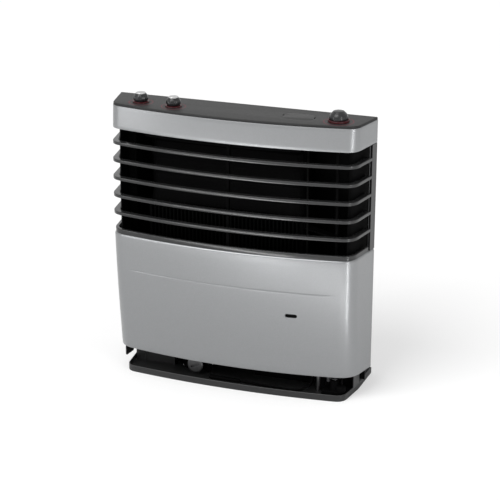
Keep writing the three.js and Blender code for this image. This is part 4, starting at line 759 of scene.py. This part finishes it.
print("outline: half width at the cap", round(corner_at(BAND_HEAD)[0].x, 1), "mm")

# %% [markdown]
# ## Lower panel
# The panel is one moulding with a generous rounding along its top edge, a faint crease a third of
# the way down, and a pill-shaped slot for the pilot light. A profile swept along the outline
# gives the rounding, and points near the crease are pressed in by a fraction of a millimetre.

# %% Lower panel
PANEL_ROUNDING = 4.5
CREASE_UP, CREASE_HALF, CREASE_DEPTH, CREASE_WIDTH, CREASE_FADE = 204.5, 180.0, 0.45, 1.3, 14.0
WINDOW = {"length": 21.8, "height": 7.0, "side": 118.0, "up": 161.0}

foot, head, r = PANEL_FOOT, GRILLE_FOOT, PANEL_ROUNDING
crease = [CREASE_UP + d for d in (-2.4, -1.2, -0.5, 0.0, 0.5, 1.2, 2.4)]
levels = sorted([mix(foot, head - r, i / 18) for i in range(1, 18)] + crease)
profile = [(0.8, foot), (0.25, foot + 0.25), (0.0, foot + 0.8)] + [(0.0, z) for z in levels]
profile += arc((r, head - r), r, 180, 90, 8)
profile += [(LIP, head), (LIP, head - WALL), (WALL + 1, head - WALL), (WALL, head - WALL - 1.5)]
profile += [(WALL, mix(foot, head, share)) for share in (0.8, 0.6, 0.4, 0.2)] + [(WALL, foot)]

lower_panel = swept("cladding_panel", profile, around_front())
for vertex in lower_panel.data.vertices:
    x, y, z = (c / MM for c in vertex.co)
    outer = -y > front_depth(z) - FRONT_BOW * (x / 215.0) ** 2 - 1.6
    if outer and abs(x) <= 205:
        across = max(0.0, 1 - abs(z - CREASE_UP) / CREASE_WIDTH)
        fade = min(1.0, max(0.0, (CREASE_HALF + CREASE_FADE - abs(x)) / CREASE_FADE))
        vertex.co.y += CREASE_DEPTH * across * fade * MM
slot_outline = rounded_outline(WINDOW["length"], WINDOW["height"], WINDOW["height"] / 2 - 0.01, arc_steps=12)
slot_cutter = skin("slot_cutter", [
    [(WINDOW["side"] + u, y, WINDOW["up"] + v) for u, v in slot_outline] for y in (-120.0, -60.0)
])
carve(lower_panel, [slot_cutter])
dress(lower_panel, "silver_paint", instead_of=["lower_panel"])

# %% [markdown]
# ## Trim band and grille
# The band above the grille has the same paint. The slats are five sweeps of one small profile, so
# they are a rule: a curve at each height, and one profile carried along it. Geometry Nodes make
# them from plain lines, with the depth, thickness and rounding as named inputs.

# %% Trim band
foot, head = GRILLE_HEAD, BAND_HEAD
profile = [(1.0, foot), (0.3, foot + 0.3), (0.0, foot + 1.0)]
profile += [(0.0, mix(foot, head, i / 6)) for i in range(1, 6)]
profile += [(0.0, head - 0.8), (0.24, head - 0.24), (0.8, head), (WALL, head)]
profile += [(WALL, (foot + head) / 2), (WALL, foot + WALL), (LIP, foot + WALL), (LIP, foot)]
dress(swept("cladding_band", profile, around_front()), "silver_paint", instead_of=["trim_band"])

# %% Helpers for geometry nodes


def node_tree(name, inputs):
    """A Geometry Nodes tree with named inputs, what it is given, and the sockets for what it makes."""
    tree = bpy.data.node_groups.new(name, "GeometryNodeTree")
    tree.interface.new_socket("Geometry", in_out="INPUT", socket_type="NodeSocketGeometry")
    for label, kind, value in inputs:
        socket = tree.interface.new_socket(label, in_out="INPUT", socket_type=kind)
        if value is not None:
            socket.default_value = value
    tree.interface.new_socket("Geometry", in_out="OUTPUT", socket_type="NodeSocketGeometry")
    return tree, tree.nodes.new("NodeGroupInput").outputs, tree.nodes.new("NodeGroupOutput").inputs


def sweep_node(tree, path, section):
    return add_node(tree, "GeometryNodeCurveToMesh", Curve=path.outputs["Curve"],
                    Profile_Curve=section.outputs["Curve"], Fill_Caps=True).outputs["Mesh"]


def hand_on(tree, mesh, given, made):
    """The end of every tree: real geometry with its material set."""
    real = add_node(tree, "GeometryNodeRealizeInstances", Geometry=mesh)
    paint = add_node(tree, "GeometryNodeSetMaterial", Geometry=real.outputs["Geometry"], Material=given["Material"])
    put(tree, made["Geometry"], paint.outputs["Geometry"])
    return tree


def run_tree(piece, tree, values):
    """Runs a tree on an object with its inputs set, and keeps the result as plain mesh."""
    modifier = piece.modifiers.new("rule", "NODES")
    modifier.node_group = tree
    for item in tree.interface.items_tree:
        if item.item_type == "SOCKET" and item.in_out == "INPUT" and item.name in values:
            modifier[item.identifier] = values[item.name]
    return applied(piece)


def line_object(name, lines):
    """An object of plain open lines; each is a list of points in millimetres."""
    points, edges = [], []
    for line in lines:
        first = len(points)
        points += line
        edges += [(first + i, first + i + 1) for i in range(len(line) - 1)]
    return raw_piece(name, points, edges, [])


print("geometry node helpers ready")

# %% Slat tree
SLAT_COUNT, SLAT_DEPTH, SLAT_THICKNESS, SLAT_ROUNDING, SLAT_DROP = 5, 11.5, 5.6, 0.8, 3.0
SLAT_PITCH = (GRILLE_HEAD - GRILLE_FOOT) / (SLAT_COUNT + 1)
tree, given, made = node_tree("grille_slats", [
    ("Depth", FLOAT, 0.0115), ("Thickness", FLOAT, 0.0056), ("Rounding", FLOAT, 0.0011),
    ("Material", MATERIAL, None),
])
path = add_node(tree, "GeometryNodeMeshToCurve", Mesh=given["Geometry"])
upright = add_node(tree, "GeometryNodeSetCurveNormal", settings={"mode": "Z_UP"}, Curve=path.outputs["Curve"])
section = add_node(tree, "GeometryNodeCurvePrimitiveQuadrilateral", Width=given["Depth"], Height=given["Thickness"])
fillet = add_node(tree, "GeometryNodeFilletCurve", settings={"mode": "POLY"}, Curve=section.outputs["Curve"],
                  Count=5, Radius=given["Rounding"])
slat_tree = hand_on(tree, sweep_node(tree, upright, fillet), given, made)


def slat_line(number):
    low = GRILLE_FOOT + number * SLAT_PITCH + SLAT_DROP
    z = low + SLAT_THICKNESS / 2
    return [outline_point(place(z), SLAT_DEPTH / 2, z) for place in around_front(POST_WIDTH + SEAT)]


slats = line_object("grille_slats", [slat_line(n) for n in range(1, SLAT_COUNT + 1)])
run_tree(slats, slat_tree, {
    "Depth": SLAT_DEPTH * MM, "Thickness": SLAT_THICKNESS * MM, "Rounding": SLAT_ROUNDING * MM,
    "Material": finishes["grille_plastic"],
})
dress(slats, "grille_plastic", instead_of=[f"slat_{n}" for n in range(1, SLAT_COUNT + 1)])

# %% Rail, posts and middle rib
RIB_WIDTH, RIB_DEPTH, RAIL_HEIGHT, RAIL_INSET = 5.0, 7.0, 8.0, 1.8
# The walls behind the slat ends are black as painted shade, and their skirt below the grille covers a slit where the
# wall behind would lie in shade.
SCREEN_WALL, SCREEN_DROP = 1.5, 28.0    # the black walls behind the slat ends


def upright_profile(front, depth, foot=GRILLE_FOOT + SEAT):
    """A thin wall as tall as the grille, with points along its height."""
    head, steps = GRILLE_HEAD - SEAT, 12
    face = [(front, mix(foot, head, i / steps)) for i in range(steps + 1)]
    return face + [(front + depth, mix(head, foot, i / steps)) for i in range(steps + 1)]


def beside_wall(sign, gaps):
    return [lambda z, g=gap: sign * place_from_wall(g, z) for gap in gaps]


foot, head, front = GRILLE_FOOT + SEAT, GRILLE_FOOT + RAIL_HEIGHT, RAIL_INSET
back = front + WALL + 3
profile = [(front, foot), (front, head - 1), *arc((front + 1, head - 1), 1, 180, 90, 4), (back, head), (back, foot)]
rail = swept("grille_rail", profile, around_front(POST_WIDTH + SEAT))
dress(rail, "grille_plastic", instead_of=["bottom_rail"])
for side_name, sign in (("left", -1), ("right", 1)):
    places = beside_wall(sign, (16.0, 12.0, 8.0, 4.0, 0.0))
    post = swept(f"side_post_{side_name}", upright_profile(0.0, WALL + 1.5), places)
    dress(post, "grille_plastic", instead_of=[f"grille_post_{side_name}"])
    places = [lambda z, t=sign * turn: t for turn in (1.4, 1.55, 1.7, 1.85)]
    places += beside_wall(sign, (60.0, 46.0, 32.0, 18.0, 5.1))
    # Black here is painted shade.
    screen = upright_profile(SLAT_DEPTH + 2 * SEAT, SCREEN_WALL, GRILLE_FOOT - SCREEN_DROP)
    dress(swept(f"side_screen_{side_name}", screen, places), "black_plastic")
rib_places = [lambda z, x=x: x / corner_at(z)[1].x for x in (-RIB_WIDTH / 2, 0.001, RIB_WIDTH / 2)]
rib = swept("middle_rib", upright_profile(SLAT_DEPTH + SEAT, RIB_DEPTH), rib_places)
dress(rib, "black_plastic", instead_of=["grille_rib"])

# %% [markdown]
# ## Cap
# The cap is a thin plate with a bevelled rim and a skirt inside the band. It has a rounded opening
# for the battery lid and three holes for the knobs. Rings of points give the bevel, and the
# openings are cut out of it, because their outlines don't follow the rim.

# %% Cap
LID = {"side": 113.0, "line": -45.0, "length": 58.2, "width": 37.9, "corner": 16.0, "thickness": 2.2,
       "ledge": 1.4, "gap": 0.36}
CAP_FOOT = BAND_HEAD + SEAT
SPINDLE, RUNNING, SKIRT_DROP = 3.0, 0.5, 11.0


def lid_prism(name, shrink, z0, z1, grow=0.0):
    outline = rounded_outline(LID["length"] - 2 * shrink + grow, LID["width"] - 2 * shrink + grow,
                              LID["corner"] - shrink, (LID["side"], LID["line"]), arc_steps=16)
    return prism(name, outline, z0, z1)


rim = [(0.4, CAP_FOOT), (0.46, CAP_FOOT + 0.8), (0.62, CAP_HEAD - 1.7), (0.85, CAP_HEAD - 0.95),
       (1.25, CAP_HEAD - 0.42), (1.8, CAP_HEAD - 0.12), (2.5, CAP_HEAD)]
cap = skin("cap_plate", [[outline_point(place(z), inset, z) for place in around_front()] for inset, z in rim])
front, foot, head = WALL + SEAT, CAP_FOOT - SKIRT_DROP, CAP_FOOT + 1
skirt = swept("cap_skirt", [(front, foot), (front, head), (front + WALL, head), (front + WALL, foot)], around_front())
carve(cap, [skirt], "UNION")
cap_cutters = [
    lid_prism("rebate", 0.0, CAP_HEAD - LID["thickness"] - SEAT, CAP_HEAD + 3, LID["gap"]),
    lid_prism("well", LID["ledge"], CAP_FOOT - 3, CAP_HEAD + 1),
]
for number, place in enumerate((*FAN_KNOBS, THERMOSTAT), 1):
    hole = [(SPINDLE + RUNNING, CAP_FOOT - 2), (SPINDLE + RUNNING, CAP_HEAD + 2)]
    cap_cutters.append(turned(f"knob_hole_{number}", hole, (*place, 0), 40))
carve(cap, cap_cutters)
cap.name = "top_cap"
dress(cap, "cap_printed", instead_of=["top_panel"])

# %% Battery lid
# The lid lifts off, so it is a piece of its own with a finger notch at each end.
lid = lid_prism("lid", 0.0, CAP_HEAD - LID["thickness"], CAP_HEAD)
lip = lid_prism("lid_lip", LID["ledge"] + LID["gap"] + 0.1, CAP_HEAD - LID["thickness"] - 1.5, CAP_HEAD - 1)
carve(lid, [lip], "UNION")
notch_places = [(LID["side"] + end * (LID["length"] / 2 + 2.4), LID["line"], 0) for end in (-1, 1)]
carve(lid, [turned("notch", [(4.6, CAP_HEAD - 1.5), (4.9, CAP_HEAD + 1)], place, 40) for place in notch_places])
round_edges(lid, 0.35, 2, 50)
lid.name = "lift_off_lid"
dress(lid, "cap_plastic", body="lid", instead_of=["battery_lid"])

# %% [markdown]
# ## Knobs
# Two small knobs have a bulging grip with flats all round and a pale inlaid disc; the large one is
# a smooth glossy dome. A turned form can't have flats, so the grip is a skin over rings whose
# radius swells and falls with the angle.

# %% Small knobs
FAN_RADIUS, FAN_HEIGHT, FAN_RING_HEIGHT, SPINDLE_FOOT = 13.2, 13.4, 2.0, 491.6
FAN_FOOT = CAP_HEAD + FAN_RING_HEIGHT + 2 * SEAT
INLAY_RADIUS, INLAY_HEIGHT, FLATS = 8.8, 2.0, 12


def grip_ring(radius, z, place, swell):
    """A ring that swells at each of the grip's lobes."""
    return [spun(radius + swell * abs(math.cos(FLATS * angle / 2)) ** 1.5, z, angle, (*place, 0))
            for angle in full_turn(144)]


def fan_knob(name, place):
    foot, head, r = FAN_FOOT, FAN_FOOT + FAN_HEIGHT, FAN_RADIUS - 0.4
    side = [(1.4, 0.0, 0.0), (0.9, 0.8, 0.1), (0.4, 2.0, 0.25), (0.15, 3.2, 0.35), (0.0, 4.6, 0.4), (0.05, 6.2, 0.4),
            (0.35, 7.8, 0.4), (0.8, 9.2, 0.35), (1.5, 10.6, 0.25), (2.2, 11.8, 0.12), (2.9, 12.8, 0.04)]
    levels = [(r - narrower, foot + up, swell) for narrower, up, swell in side]
    levels += [(r - 3.4, head, 0.0), (INLAY_RADIUS + 0.3, head, 0.0), (INLAY_RADIUS + 0.2, head - 0.4, 0.0),
               (1.0, head - 0.4, 0.0)]
    body = skin(name, [grip_ring(radius, z, place, swell) for radius, z, swell in levels])
    spindle = turned("spindle", [(SPINDLE, SPINDLE_FOOT), (SPINDLE, foot + 1)], (*place, 0), 40)
    return carve(body, [spindle], "UNION")


def inlay(name, place):
    foot, r, h = FAN_FOOT + FAN_HEIGHT + SEAT, INLAY_RADIUS, INLAY_HEIGHT
    rim = [(r, 0.0), (r, 0.3), (r - 0.25, 0.55), (r - 0.9, 0.76), (r - 2.4, 0.92), (r * 0.5, 0.98)]
    profile = [(0.0, foot)] + [(radius, foot + h * share) for radius, share in rim] + [(0.0, foot + h)]
    return turned(name, profile, (*place, 0))


for number, place in enumerate(FAN_KNOBS, 1):
    dial = f"fan_dial_{number}"
    dress(fan_knob(f"small_knob_{number}", place), "knob_black", dial, [f"fan_knob_{number}"])
    dress(inlay(f"small_knob_inlay_{number}", place), "knob_silver", dial, [f"fan_knob_cap_{number}"])

# %% Large knob
PRESS_TRAVEL = 4.0
LARGE_RADIUS, LARGE_HEIGHT, BORE_DEPTH = 16.4, 19.4, 8.0
LARGE_FOOT = CAP_HEAD + PRESS_TRAVEL + SEAT

r, tall = LARGE_RADIUS - 0.2, CAP_HEAD + LARGE_HEIGHT - LARGE_FOOT
dome = [(0.965, 0.0), (0.985, 0.03), (1.0, 0.1), (1.0, 0.2), (0.99, 0.3), (0.965, 0.4), (0.93, 0.5), (0.88, 0.6),
        (0.82, 0.69), (0.75, 0.77), (0.69, 0.825), (0.66, 0.845), (0.645, 0.87), (0.62, 0.91), (0.56, 0.945),
        (0.45, 0.972), (0.3, 0.99), (0.15, 0.998), (0.0, 1.0)]
profile = [(0.0, LARGE_FOOT)] + [(r * reach, LARGE_FOOT + tall * share) for reach, share in dome]
large_knob = turned("large_knob", profile, (*THERMOSTAT, 0), 128)
bore = [(SPINDLE + SEAT, LARGE_FOOT - 1), (SPINDLE + SEAT, LARGE_FOOT + BORE_DEPTH)]
carve(large_knob, [turned("bore", bore, (*THERMOSTAT, 0), 40)])
dress(large_knob, "knob_black", "thermostat_turn", ["thermostat_knob"])

# %% Red rings, with the painted glow of their finish
RING_WIDTH, RING_UNDERLAP = 1.5, 3.6


def red_ring(name, inner, outer, height, place):
    foot, slope = CAP_HEAD + SEAT, min(1.0, (outer - inner) / 2)
    edge = [(0.0, 0.0), (0.0, 0.5), (0.2, 0.75), (0.55, 0.93), (1.0, 1.0)]
    profile = [(outer - slope * narrower, foot + height * share) for narrower, share in edge]
    return ring_turned(name, [(inner, foot), *profile, (inner, foot + height)], (*place, 0))


small_ring = (FAN_RADIUS - RING_UNDERLAP, FAN_RADIUS + RING_WIDTH, FAN_RING_HEIGHT)
large_ring = (LARGE_RADIUS + RUNNING, LARGE_RADIUS + RUNNING + RING_WIDTH, PRESS_TRAVEL)
ring_sizes = [(small_ring, FAN_KNOBS[0]), (small_ring, FAN_KNOBS[1]), (large_ring, THERMOSTAT)]
for number, ((inner, outer, height), place) in enumerate(ring_sizes, 1):
    ring = red_ring(f"red_ring_{number}", inner, outer, height, place)
    dress(ring, "ring_red", instead_of=[f"knob_ring_{number}"])

# %% Battery cells
CELL_RADIUS, CELL_LENGTH, CELL_UP = 7.1, 50.0, 488.8


def battery_cell(name, row, way):
    """A dry cell with a nub at one end and a bare rim at both."""
    r, half = CELL_RADIUS, CELL_LENGTH / 2
    profile = [(0.0, -half + 0.3), (r - 1.6, -half + 0.3), (r - 1.4, -half), (r - 0.5, -half), (r, -half + 0.5),
               (r, half - 2.2), (r - 0.6, half - 1.7), (2.8, half - 1.7), (2.8, half - 0.2), (2.5, half), (0.0, half)]
    cell = turned(name, profile, (0, 0, 0), 64)
    for vertex in cell.data.vertices:
        x, y, z = vertex.co
        line = LID["line"] + row * (CELL_RADIUS + 0.25)
        vertex.co = (LID["side"] * MM + way * z, line * MM + y, CELL_UP * MM - way * x)
    return cell


for number, (row, way) in enumerate([(-1, 1), (1, -1)], 1):
    dress(battery_cell(f"cell_{number}", row, way), "cell_wrap", instead_of=[f"battery_cell_{number}"])

# %% [markdown]
# ## Floor tray
# The tray is a shallow moulding with a bowed front, rounded corners and sides that lean in. It is
# a skin over plan outlines, and the small insets along its height give its ribs and soft edges.

# %% Floor tray
TRAY = {"half": 216.5, "shoulder": 208.5, "rear": 75.0, "front": 84.0, "bow": 14.5, "corner": 17.0,
        "lean": 0.12, "lean_start": 3.0, "height": 12.0, "floor": 3.0, "rim": 2.0}
FLUE = (-95.0, -2.0)
INLET = (152.0, -38.0)
AIR_INLET = (76.5, 18.5)


def bent(a, b, c, steps):
    """Points of a quadratic curve after its first one."""
    return [tuple(mix(mix(p, q, t), mix(q, r, t), t) for p, q, r in zip(a, b, c))
            for t in (i / steps for i in range(1, steps + 1))]


def tray_outline(inset):
    half, rear = TRAY["half"] - inset, TRAY["rear"] - inset
    straight = TRAY["shoulder"] - TRAY["corner"]
    bow = TRAY["bow"] / TRAY["shoulder"] ** 2
    front = -(TRAY["front"] - inset - bow * straight ** 2)
    slope = 2 * bow * straight

    def side_at(y):
        return half + TRAY["lean"] * (y + TRAY["lean_start"])

    corner_x = side_at(front - slope * straight) / (1 - TRAY["lean"] * slope)
    corner_y = front + slope * (corner_x - straight)
    turn = corner_y + TRAY["corner"]
    points = [(-half, rear), (-half, -TRAY["lean_start"]), (-side_at(turn), turn)]
    points += bent(points[-1], (-corner_x, corner_y), (-straight, front), 10)
    points += bent(points[-1], (0, front - slope * straight), (straight, front), 40)
    points += bent(points[-1], (corner_x, corner_y), (side_at(turn), turn), 10)
    return points + [(half, -TRAY["lean_start"]), (half, rear)]


def tray_skin(name, levels):
    return skin(name, [[(x, y, z) for x, y in tray_outline(inset)] for inset, z in levels])


top, floor_up, rim = TRAY["height"], TRAY["floor"], TRAY["rim"]
rib_profile = ((0.0, -0.45), (0.14, -0.2), (0.14, 0.2), (0.0, 0.45))
ribs = [(inset, z + up) for z in (3.4, 6.0, 8.6) for inset, up in rib_profile]
tray = tray_skin("floor_tray", [(0.8, 0.0), (0.25, 0.25), (0.0, 0.8), *ribs, (0.0, top - 0.9), (0.2, top - 0.35),
                                (0.6, top)])
cutters = [tray_skin("tray_hollow", [(rim - 0.5, top + 1), (rim - 0.35, top), (rim, top - 0.4), (rim, floor_up + 1.2),
                                     (rim + 0.35, floor_up + 0.35), (rim + 1.2, floor_up)])]
for name, place, radius in (("flue", FLUE, 27.5), ("pipe", INLET, 4.5), ("air", AIR_INLET, 28.0)):
    cutters.append(turned(f"{name}_hole", [(radius, -2), (radius, floor_up + 2)], (*place, 0), 72))
carve(tray, cutters)
dress(tray, "tray_plastic", instead_of=["base_plate"])

# %% [markdown]
# ## Pipes, cable and spring
# Tubes are a rule too: a line through given points, and a round section along it. The same tree
# makes both gas pipes, the thin tube of the thermostat and the ignition cable. A second tree winds
# the return spring, which is pressed flat as far as the knob travels.

# %% Smooth route through points
ROUTE_STEP = 2.5


def smooth_route(points):
    """A centripetal curve through the points, sampled about every ROUTE_STEP millimetres."""
    ends = [[2 * a - b for a, b in zip(points[0], points[1])], [2 * a - b for a, b in zip(points[-1], points[-2])]]
    knots = [Vector(p) for p in (ends[0], *points, ends[1])]
    route = []
    for p0, p1, p2, p3 in zip(knots, knots[1:], knots[2:], knots[3:]):
        gaps = [max((b - a).length, 1e-6) ** 0.5 for a, b in ((p0, p1), (p1, p2), (p2, p3))]
        start = ((p1 - p0) / gaps[0] - (p2 - p0) / (gaps[0] + gaps[1]) + (p2 - p1) / gaps[1]) * gaps[1]
        end = ((p2 - p1) / gaps[1] - (p3 - p1) / (gaps[1] + gaps[2]) + (p3 - p2) / gaps[2]) * gaps[1]
        count = max(2, round((p2 - p1).length / ROUTE_STEP))
        for i in range(count):
            t = i / count
            route.append(p1 * (2 * t ** 3 - 3 * t * t + 1) + start * (t ** 3 - 2 * t * t + t)
                         + p2 * (3 * t * t - 2 * t ** 3) + end * (t ** 3 - t * t))
    return [tuple(p) for p in route] + [tuple(points[-1])]


print("route sample:", len(smooth_route([(0, 0, 0), (10, 0, 0), (10, 10, 0)])), "points")

# %% Tube tree
tree, given, made = node_tree("round_tube", [
    ("Radius", FLOAT, 0.003), ("Sides", INTEGER, 20), ("Material", MATERIAL, None),
])
path = add_node(tree, "GeometryNodeMeshToCurve", Mesh=given["Geometry"])
section = add_node(tree, "GeometryNodeCurvePrimitiveCircle", Resolution=given["Sides"], Radius=given["Radius"])
tube_tree = hand_on(tree, sweep_node(tree, path, section), given, made)


def tube(name, points, radius, finish_name, sides=24):
    piece = line_object(name, [smooth_route(points)])
    return run_tree(piece, tube_tree, {"Radius": radius * MM, "Sides": sides, "Material": finishes[finish_name]})


print("tree:", tube_tree.name)

# %% Gas pipes
inlet_route = [(152, -38, 0.5), (152, -38, 16.5), (152, -38, 62), (161, -36.5, 74), (170, -35, 62), (170, -35, 34.3),
               (170, -35, 22.3)]
dress(tube("gas_inlet_tube", inlet_route, 4.0, "steel"), "steel", instead_of=["gas_inlet_pipe"])

burner_route = [(174, -19.7, 9), (174, -11.7, 9), (160, 22, 10), (131, 22, 11), (90, 18.5, 11), (76, 18.5, 16),
                (76, 18.5, 22)]
burner_tube = tube("burner_gas_tube", burner_route, 3.0, "cast_aluminium")
injector = turned("injector", [(0.0, 20), (5.5, 20), (5.5, 27), (2.0, 32), (0.0, 32)], (76, 18.5, 0), 6)
carve(burner_tube, [injector], "UNION")
dress(burner_tube, "cast_aluminium", instead_of=["burner_gas_pipe"])

# %% Thermostat tube and bulb
sensor_route = [(11.5, -58, 6.8), (60, -61, 6.8), (126, -54, 6.8), (140, -42, 18.8), (140, -42, 68), (169, -24, 80),
                (199, -45, 62), (200, -51, 39), (200, -51, 25.3)]
dress(tube("thermostat_tube", sensor_route, 1.5, "dark_sheet", 16), "dark_sheet", instead_of=["thermostat_sensor"])
bulb_profile = [(0.0, -30.0), (2.2, -30.0), (3.1, -29.3), (3.5, -28.2), (3.5, 27.0), (2.6, 29.2), (1.7, 30.0),
                (0.0, 30.0)]
bulb = turned("thermostat_bulb", bulb_profile, (-20.0, -58.0, 6.8), 48, along="X")
dress(bulb, "dark_sheet")

# %% Ignition cable
cable_route = [(131, -45, 453.3), (131, -45, 445.3), (134, -56, 423.3), (134, -56, 334), (134, -56, 150),
               (134, -56, 82), (124, -46, 68), (96, -30, 62), (66, -27, 52), (60, -16, 50), (60, -9, 50),
               (46, -2, 53.7), (46, -2, 57.7)]
dress(tube("ignition_lead", cable_route, 2.0, "cable_jacket", 20), "cable_jacket", instead_of=["ignition_cable"])

# %% Return spring
SPRING = {"foot": 34.3, "length": 18.0, "radius": 4.9, "wire": 0.7, "turns": 5.0}
tree, given, made = node_tree("coil_spring", [
    ("Turns", FLOAT, 5.0), ("Radius", FLOAT, 0.005), ("Height", FLOAT, 0.016), ("Wire", FLOAT, 0.0007),
    ("Foot", VECTOR, (0.0, 0.0, 0.0)), ("Material", MATERIAL, None),
])
coil = add_node(tree, "GeometryNodeCurveSpiral", Resolution=32, Rotations=given["Turns"],
                Start_Radius=given["Radius"], End_Radius=given["Radius"], Height=given["Height"])
section = add_node(tree, "GeometryNodeCurvePrimitiveCircle", Resolution=12, Radius=given["Wire"])
moved = add_node(tree, "GeometryNodeTransform", Geometry=sweep_node(tree, coil, section), Translation=given["Foot"])
spring_tree = hand_on(tree, moved.outputs["Geometry"], given, made)

spring = line_object("valve_spring", [[(0, 0, 0), (1, 0, 0)]])
run_tree(spring, spring_tree, {
    "Turns": SPRING["turns"], "Radius": SPRING["radius"] * MM, "Wire": SPRING["wire"] * MM,
    "Height": (SPRING["length"] - 2 * SPRING["wire"]) * MM, "Material": finishes["steel"],
    "Foot": [THERMOSTAT[0] * MM, THERMOSTAT[1] * MM, (SPRING["foot"] + SPRING["wire"]) * MM],
})
dress(spring, "steel", instead_of=["return_spring"])
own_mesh(spring)
print("spring:", SPRING["turns"], "turns")

# %% [markdown]
# ## Valve, flue fitting and what shows in the gap above the floor
# The gap between tray and panel is dark, but the fittings in it catch some light: the round screw
# of the flue clamp, the window in the burner's cover, and the domed head of the valve. They are
# turned or rounded forms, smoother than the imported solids.

# %% Gas valve
VALVE = {"left": 164.0, "right": 202.0, "front": -59.0, "back": -26.0, "foot": 3.3, "head": 14.0}

low, high = ([VALVE[side] for side in sides] for sides in (("left", "front", "foot"), ("right", "back", "head")))
valve = box_piece("valve", low, high)
round_edges(valve, 1.2, 3)
x, y = THERMOSTAT
dome = [(9.0, 13.0), (9.0, 20.6), (8.7, 22.0), (7.6, 23.4), (6.0, 24.4), (4.0, 24.9), (0.0, 25.0)]
carve(valve, [
    turned("boss", [(7.5, 13.0), (7.5, 33.4), (7.1, 34.0), (0.0, 34.0)], (x, y, 0), 64),
    turned("dome", dome, (x + 12, y, 0), 64),
    turned("port", [(6.0, 13.0), (6.0, 21.4), (5.5, 22.0), (0.0, 22.0)], (170, -35, 0), 6),
    turned("outlet", [(5.5, 20.0), (5.5, 27.0), (0.0, 27.0)], (174, 0, 9), 48, along="Y"),
], "UNION")
carve(valve, [turned("bore", [(3.5, 8.0), (3.5, 36.0)], (x, y, 0), 40)])
# The valve takes the near-black casting, as painted shade in the gap under the panel.
dress(valve, "casting", instead_of=["gas_valve"])

# %% Control rod
rod_profile = [(0.0, 13.0), (2.6, 13.0), (3.0, 13.4), (3.0, 54.4), (6.2, 54.4), (6.5, 54.7), (6.5, 60.1),
               (6.2, 60.4), (3.0, 60.4), (3.0, 519.6), (2.6, 520.0), (0.0, 520.0)]
dress(turned("control_spindle", rod_profile, (*THERMOSTAT, 0), 48), "dark_sheet", "thermostat_turn", ["control_rod"])

# %% Flue outlet and its clamp
profile = [(25.0, 0.5), (26.7, 0.5), (26.7, 68.0), (28.0, 79.7), (29.6, 80.2), (30.0, 80.7), (30.0, 83.7),
           (25.0, 83.7)]
dress(ring_turned("flue_fitting", profile, (*FLUE, 0)), "casting", instead_of=["flue_outlet"])

(x, y), up = FLUE, 27.0
screw_x, face, low = x + 14.0, y - 50.0, 22.0
hoop = [(27.0, -5), (28.3, -5), (28.5, -4.7), (28.5, 4.7), (28.3, 5), (27.0, 5)]
clamp = ring_turned("flue_clamp_band", [(radius, up + z) for radius, z in hoop], (x, y, 0))
meets_hoop = y - math.sqrt(27 ** 2 - 9 ** 2) - SEAT
post = box_piece("clamp_post", (screw_x - 5, face + 4, up - 5), (screw_x + 5, meets_hoop, up + 5))
carve(post, [turned("clamp_screw", [(4.0, 0.0), (4.0, 13.0)], (screw_x, face + 15, low), 40, along="Y")], "UNION")
# The points at 9.8 and 11.8 mm lie in the flat face, and keep the smooth shading of the rim off it.
profile = [(0.0, 0.0), (9.8, 0.0), (11.8, 0.0), (12.6, 0.0), (14.2, -0.5), (15.0, -1.4), (15.0, -4.6), (14.6, -5.0),
           (0.0, -5.0)]
head = turned("clamp_head", profile, (screw_x, face, low), 72, along="Y")
turn, half_length, half_width = math.radians(30), 8.5, 1.9
corners = [(screw_x + half_length * i * math.cos(turn) - half_width * j * math.sin(turn),
            low + half_length * i * math.sin(turn) + half_width * j * math.cos(turn))
           for i, j in ((-1, -1), (1, -1), (1, 1), (-1, 1))]
slot = skin("clamp_slot", [[(u, depth, v) for u, v in corners] for depth in (face - 2, face + 3.4)])
carve(clamp, [post, head], "UNION")
carve(clamp, [slot])
clamp.name = "quarter_turn_clamp"
dress(clamp, "cast_aluminium", instead_of=["flue_clamp"])

# %% Sight glass
lens_profile = [(0.0, -1.4), (7.7, -1.4), (7.7, 0.0), (10.0, 0.0), (10.0, 1.1), (9.7, 1.45), (9.2, 1.6), (8.2, 1.6),
                (7.6, 1.1), (5.0, 1.35), (0.0, 1.5)]
sight = turned("sight_window", lens_profile, (113.0, -13.3, 27.0), 72, along="Y")
dress(sight, "glass", instead_of=["sight_glass"])

# %% Cover of the fan port
cover_profile = [(0.0, -68.5), (38.0, -68.5), (40.0, -68.9), (42.0, -73.0), (44.0, -73.3), (51.6, -73.3),
                 (52.0, -73.6), (52.0, -74.2), (51.6, -74.5), (43.0, -74.5), (40.5, -74.1), (38.6, -70.2),
                 (37.5, -70.0), (0.0, -70.0)]
port_cover = turned("port_cover", cover_profile, (0.0, 0.0, 300.0), along="Y")
dress(port_cover, "zinc_sheet", instead_of=["fan_port_cover"])
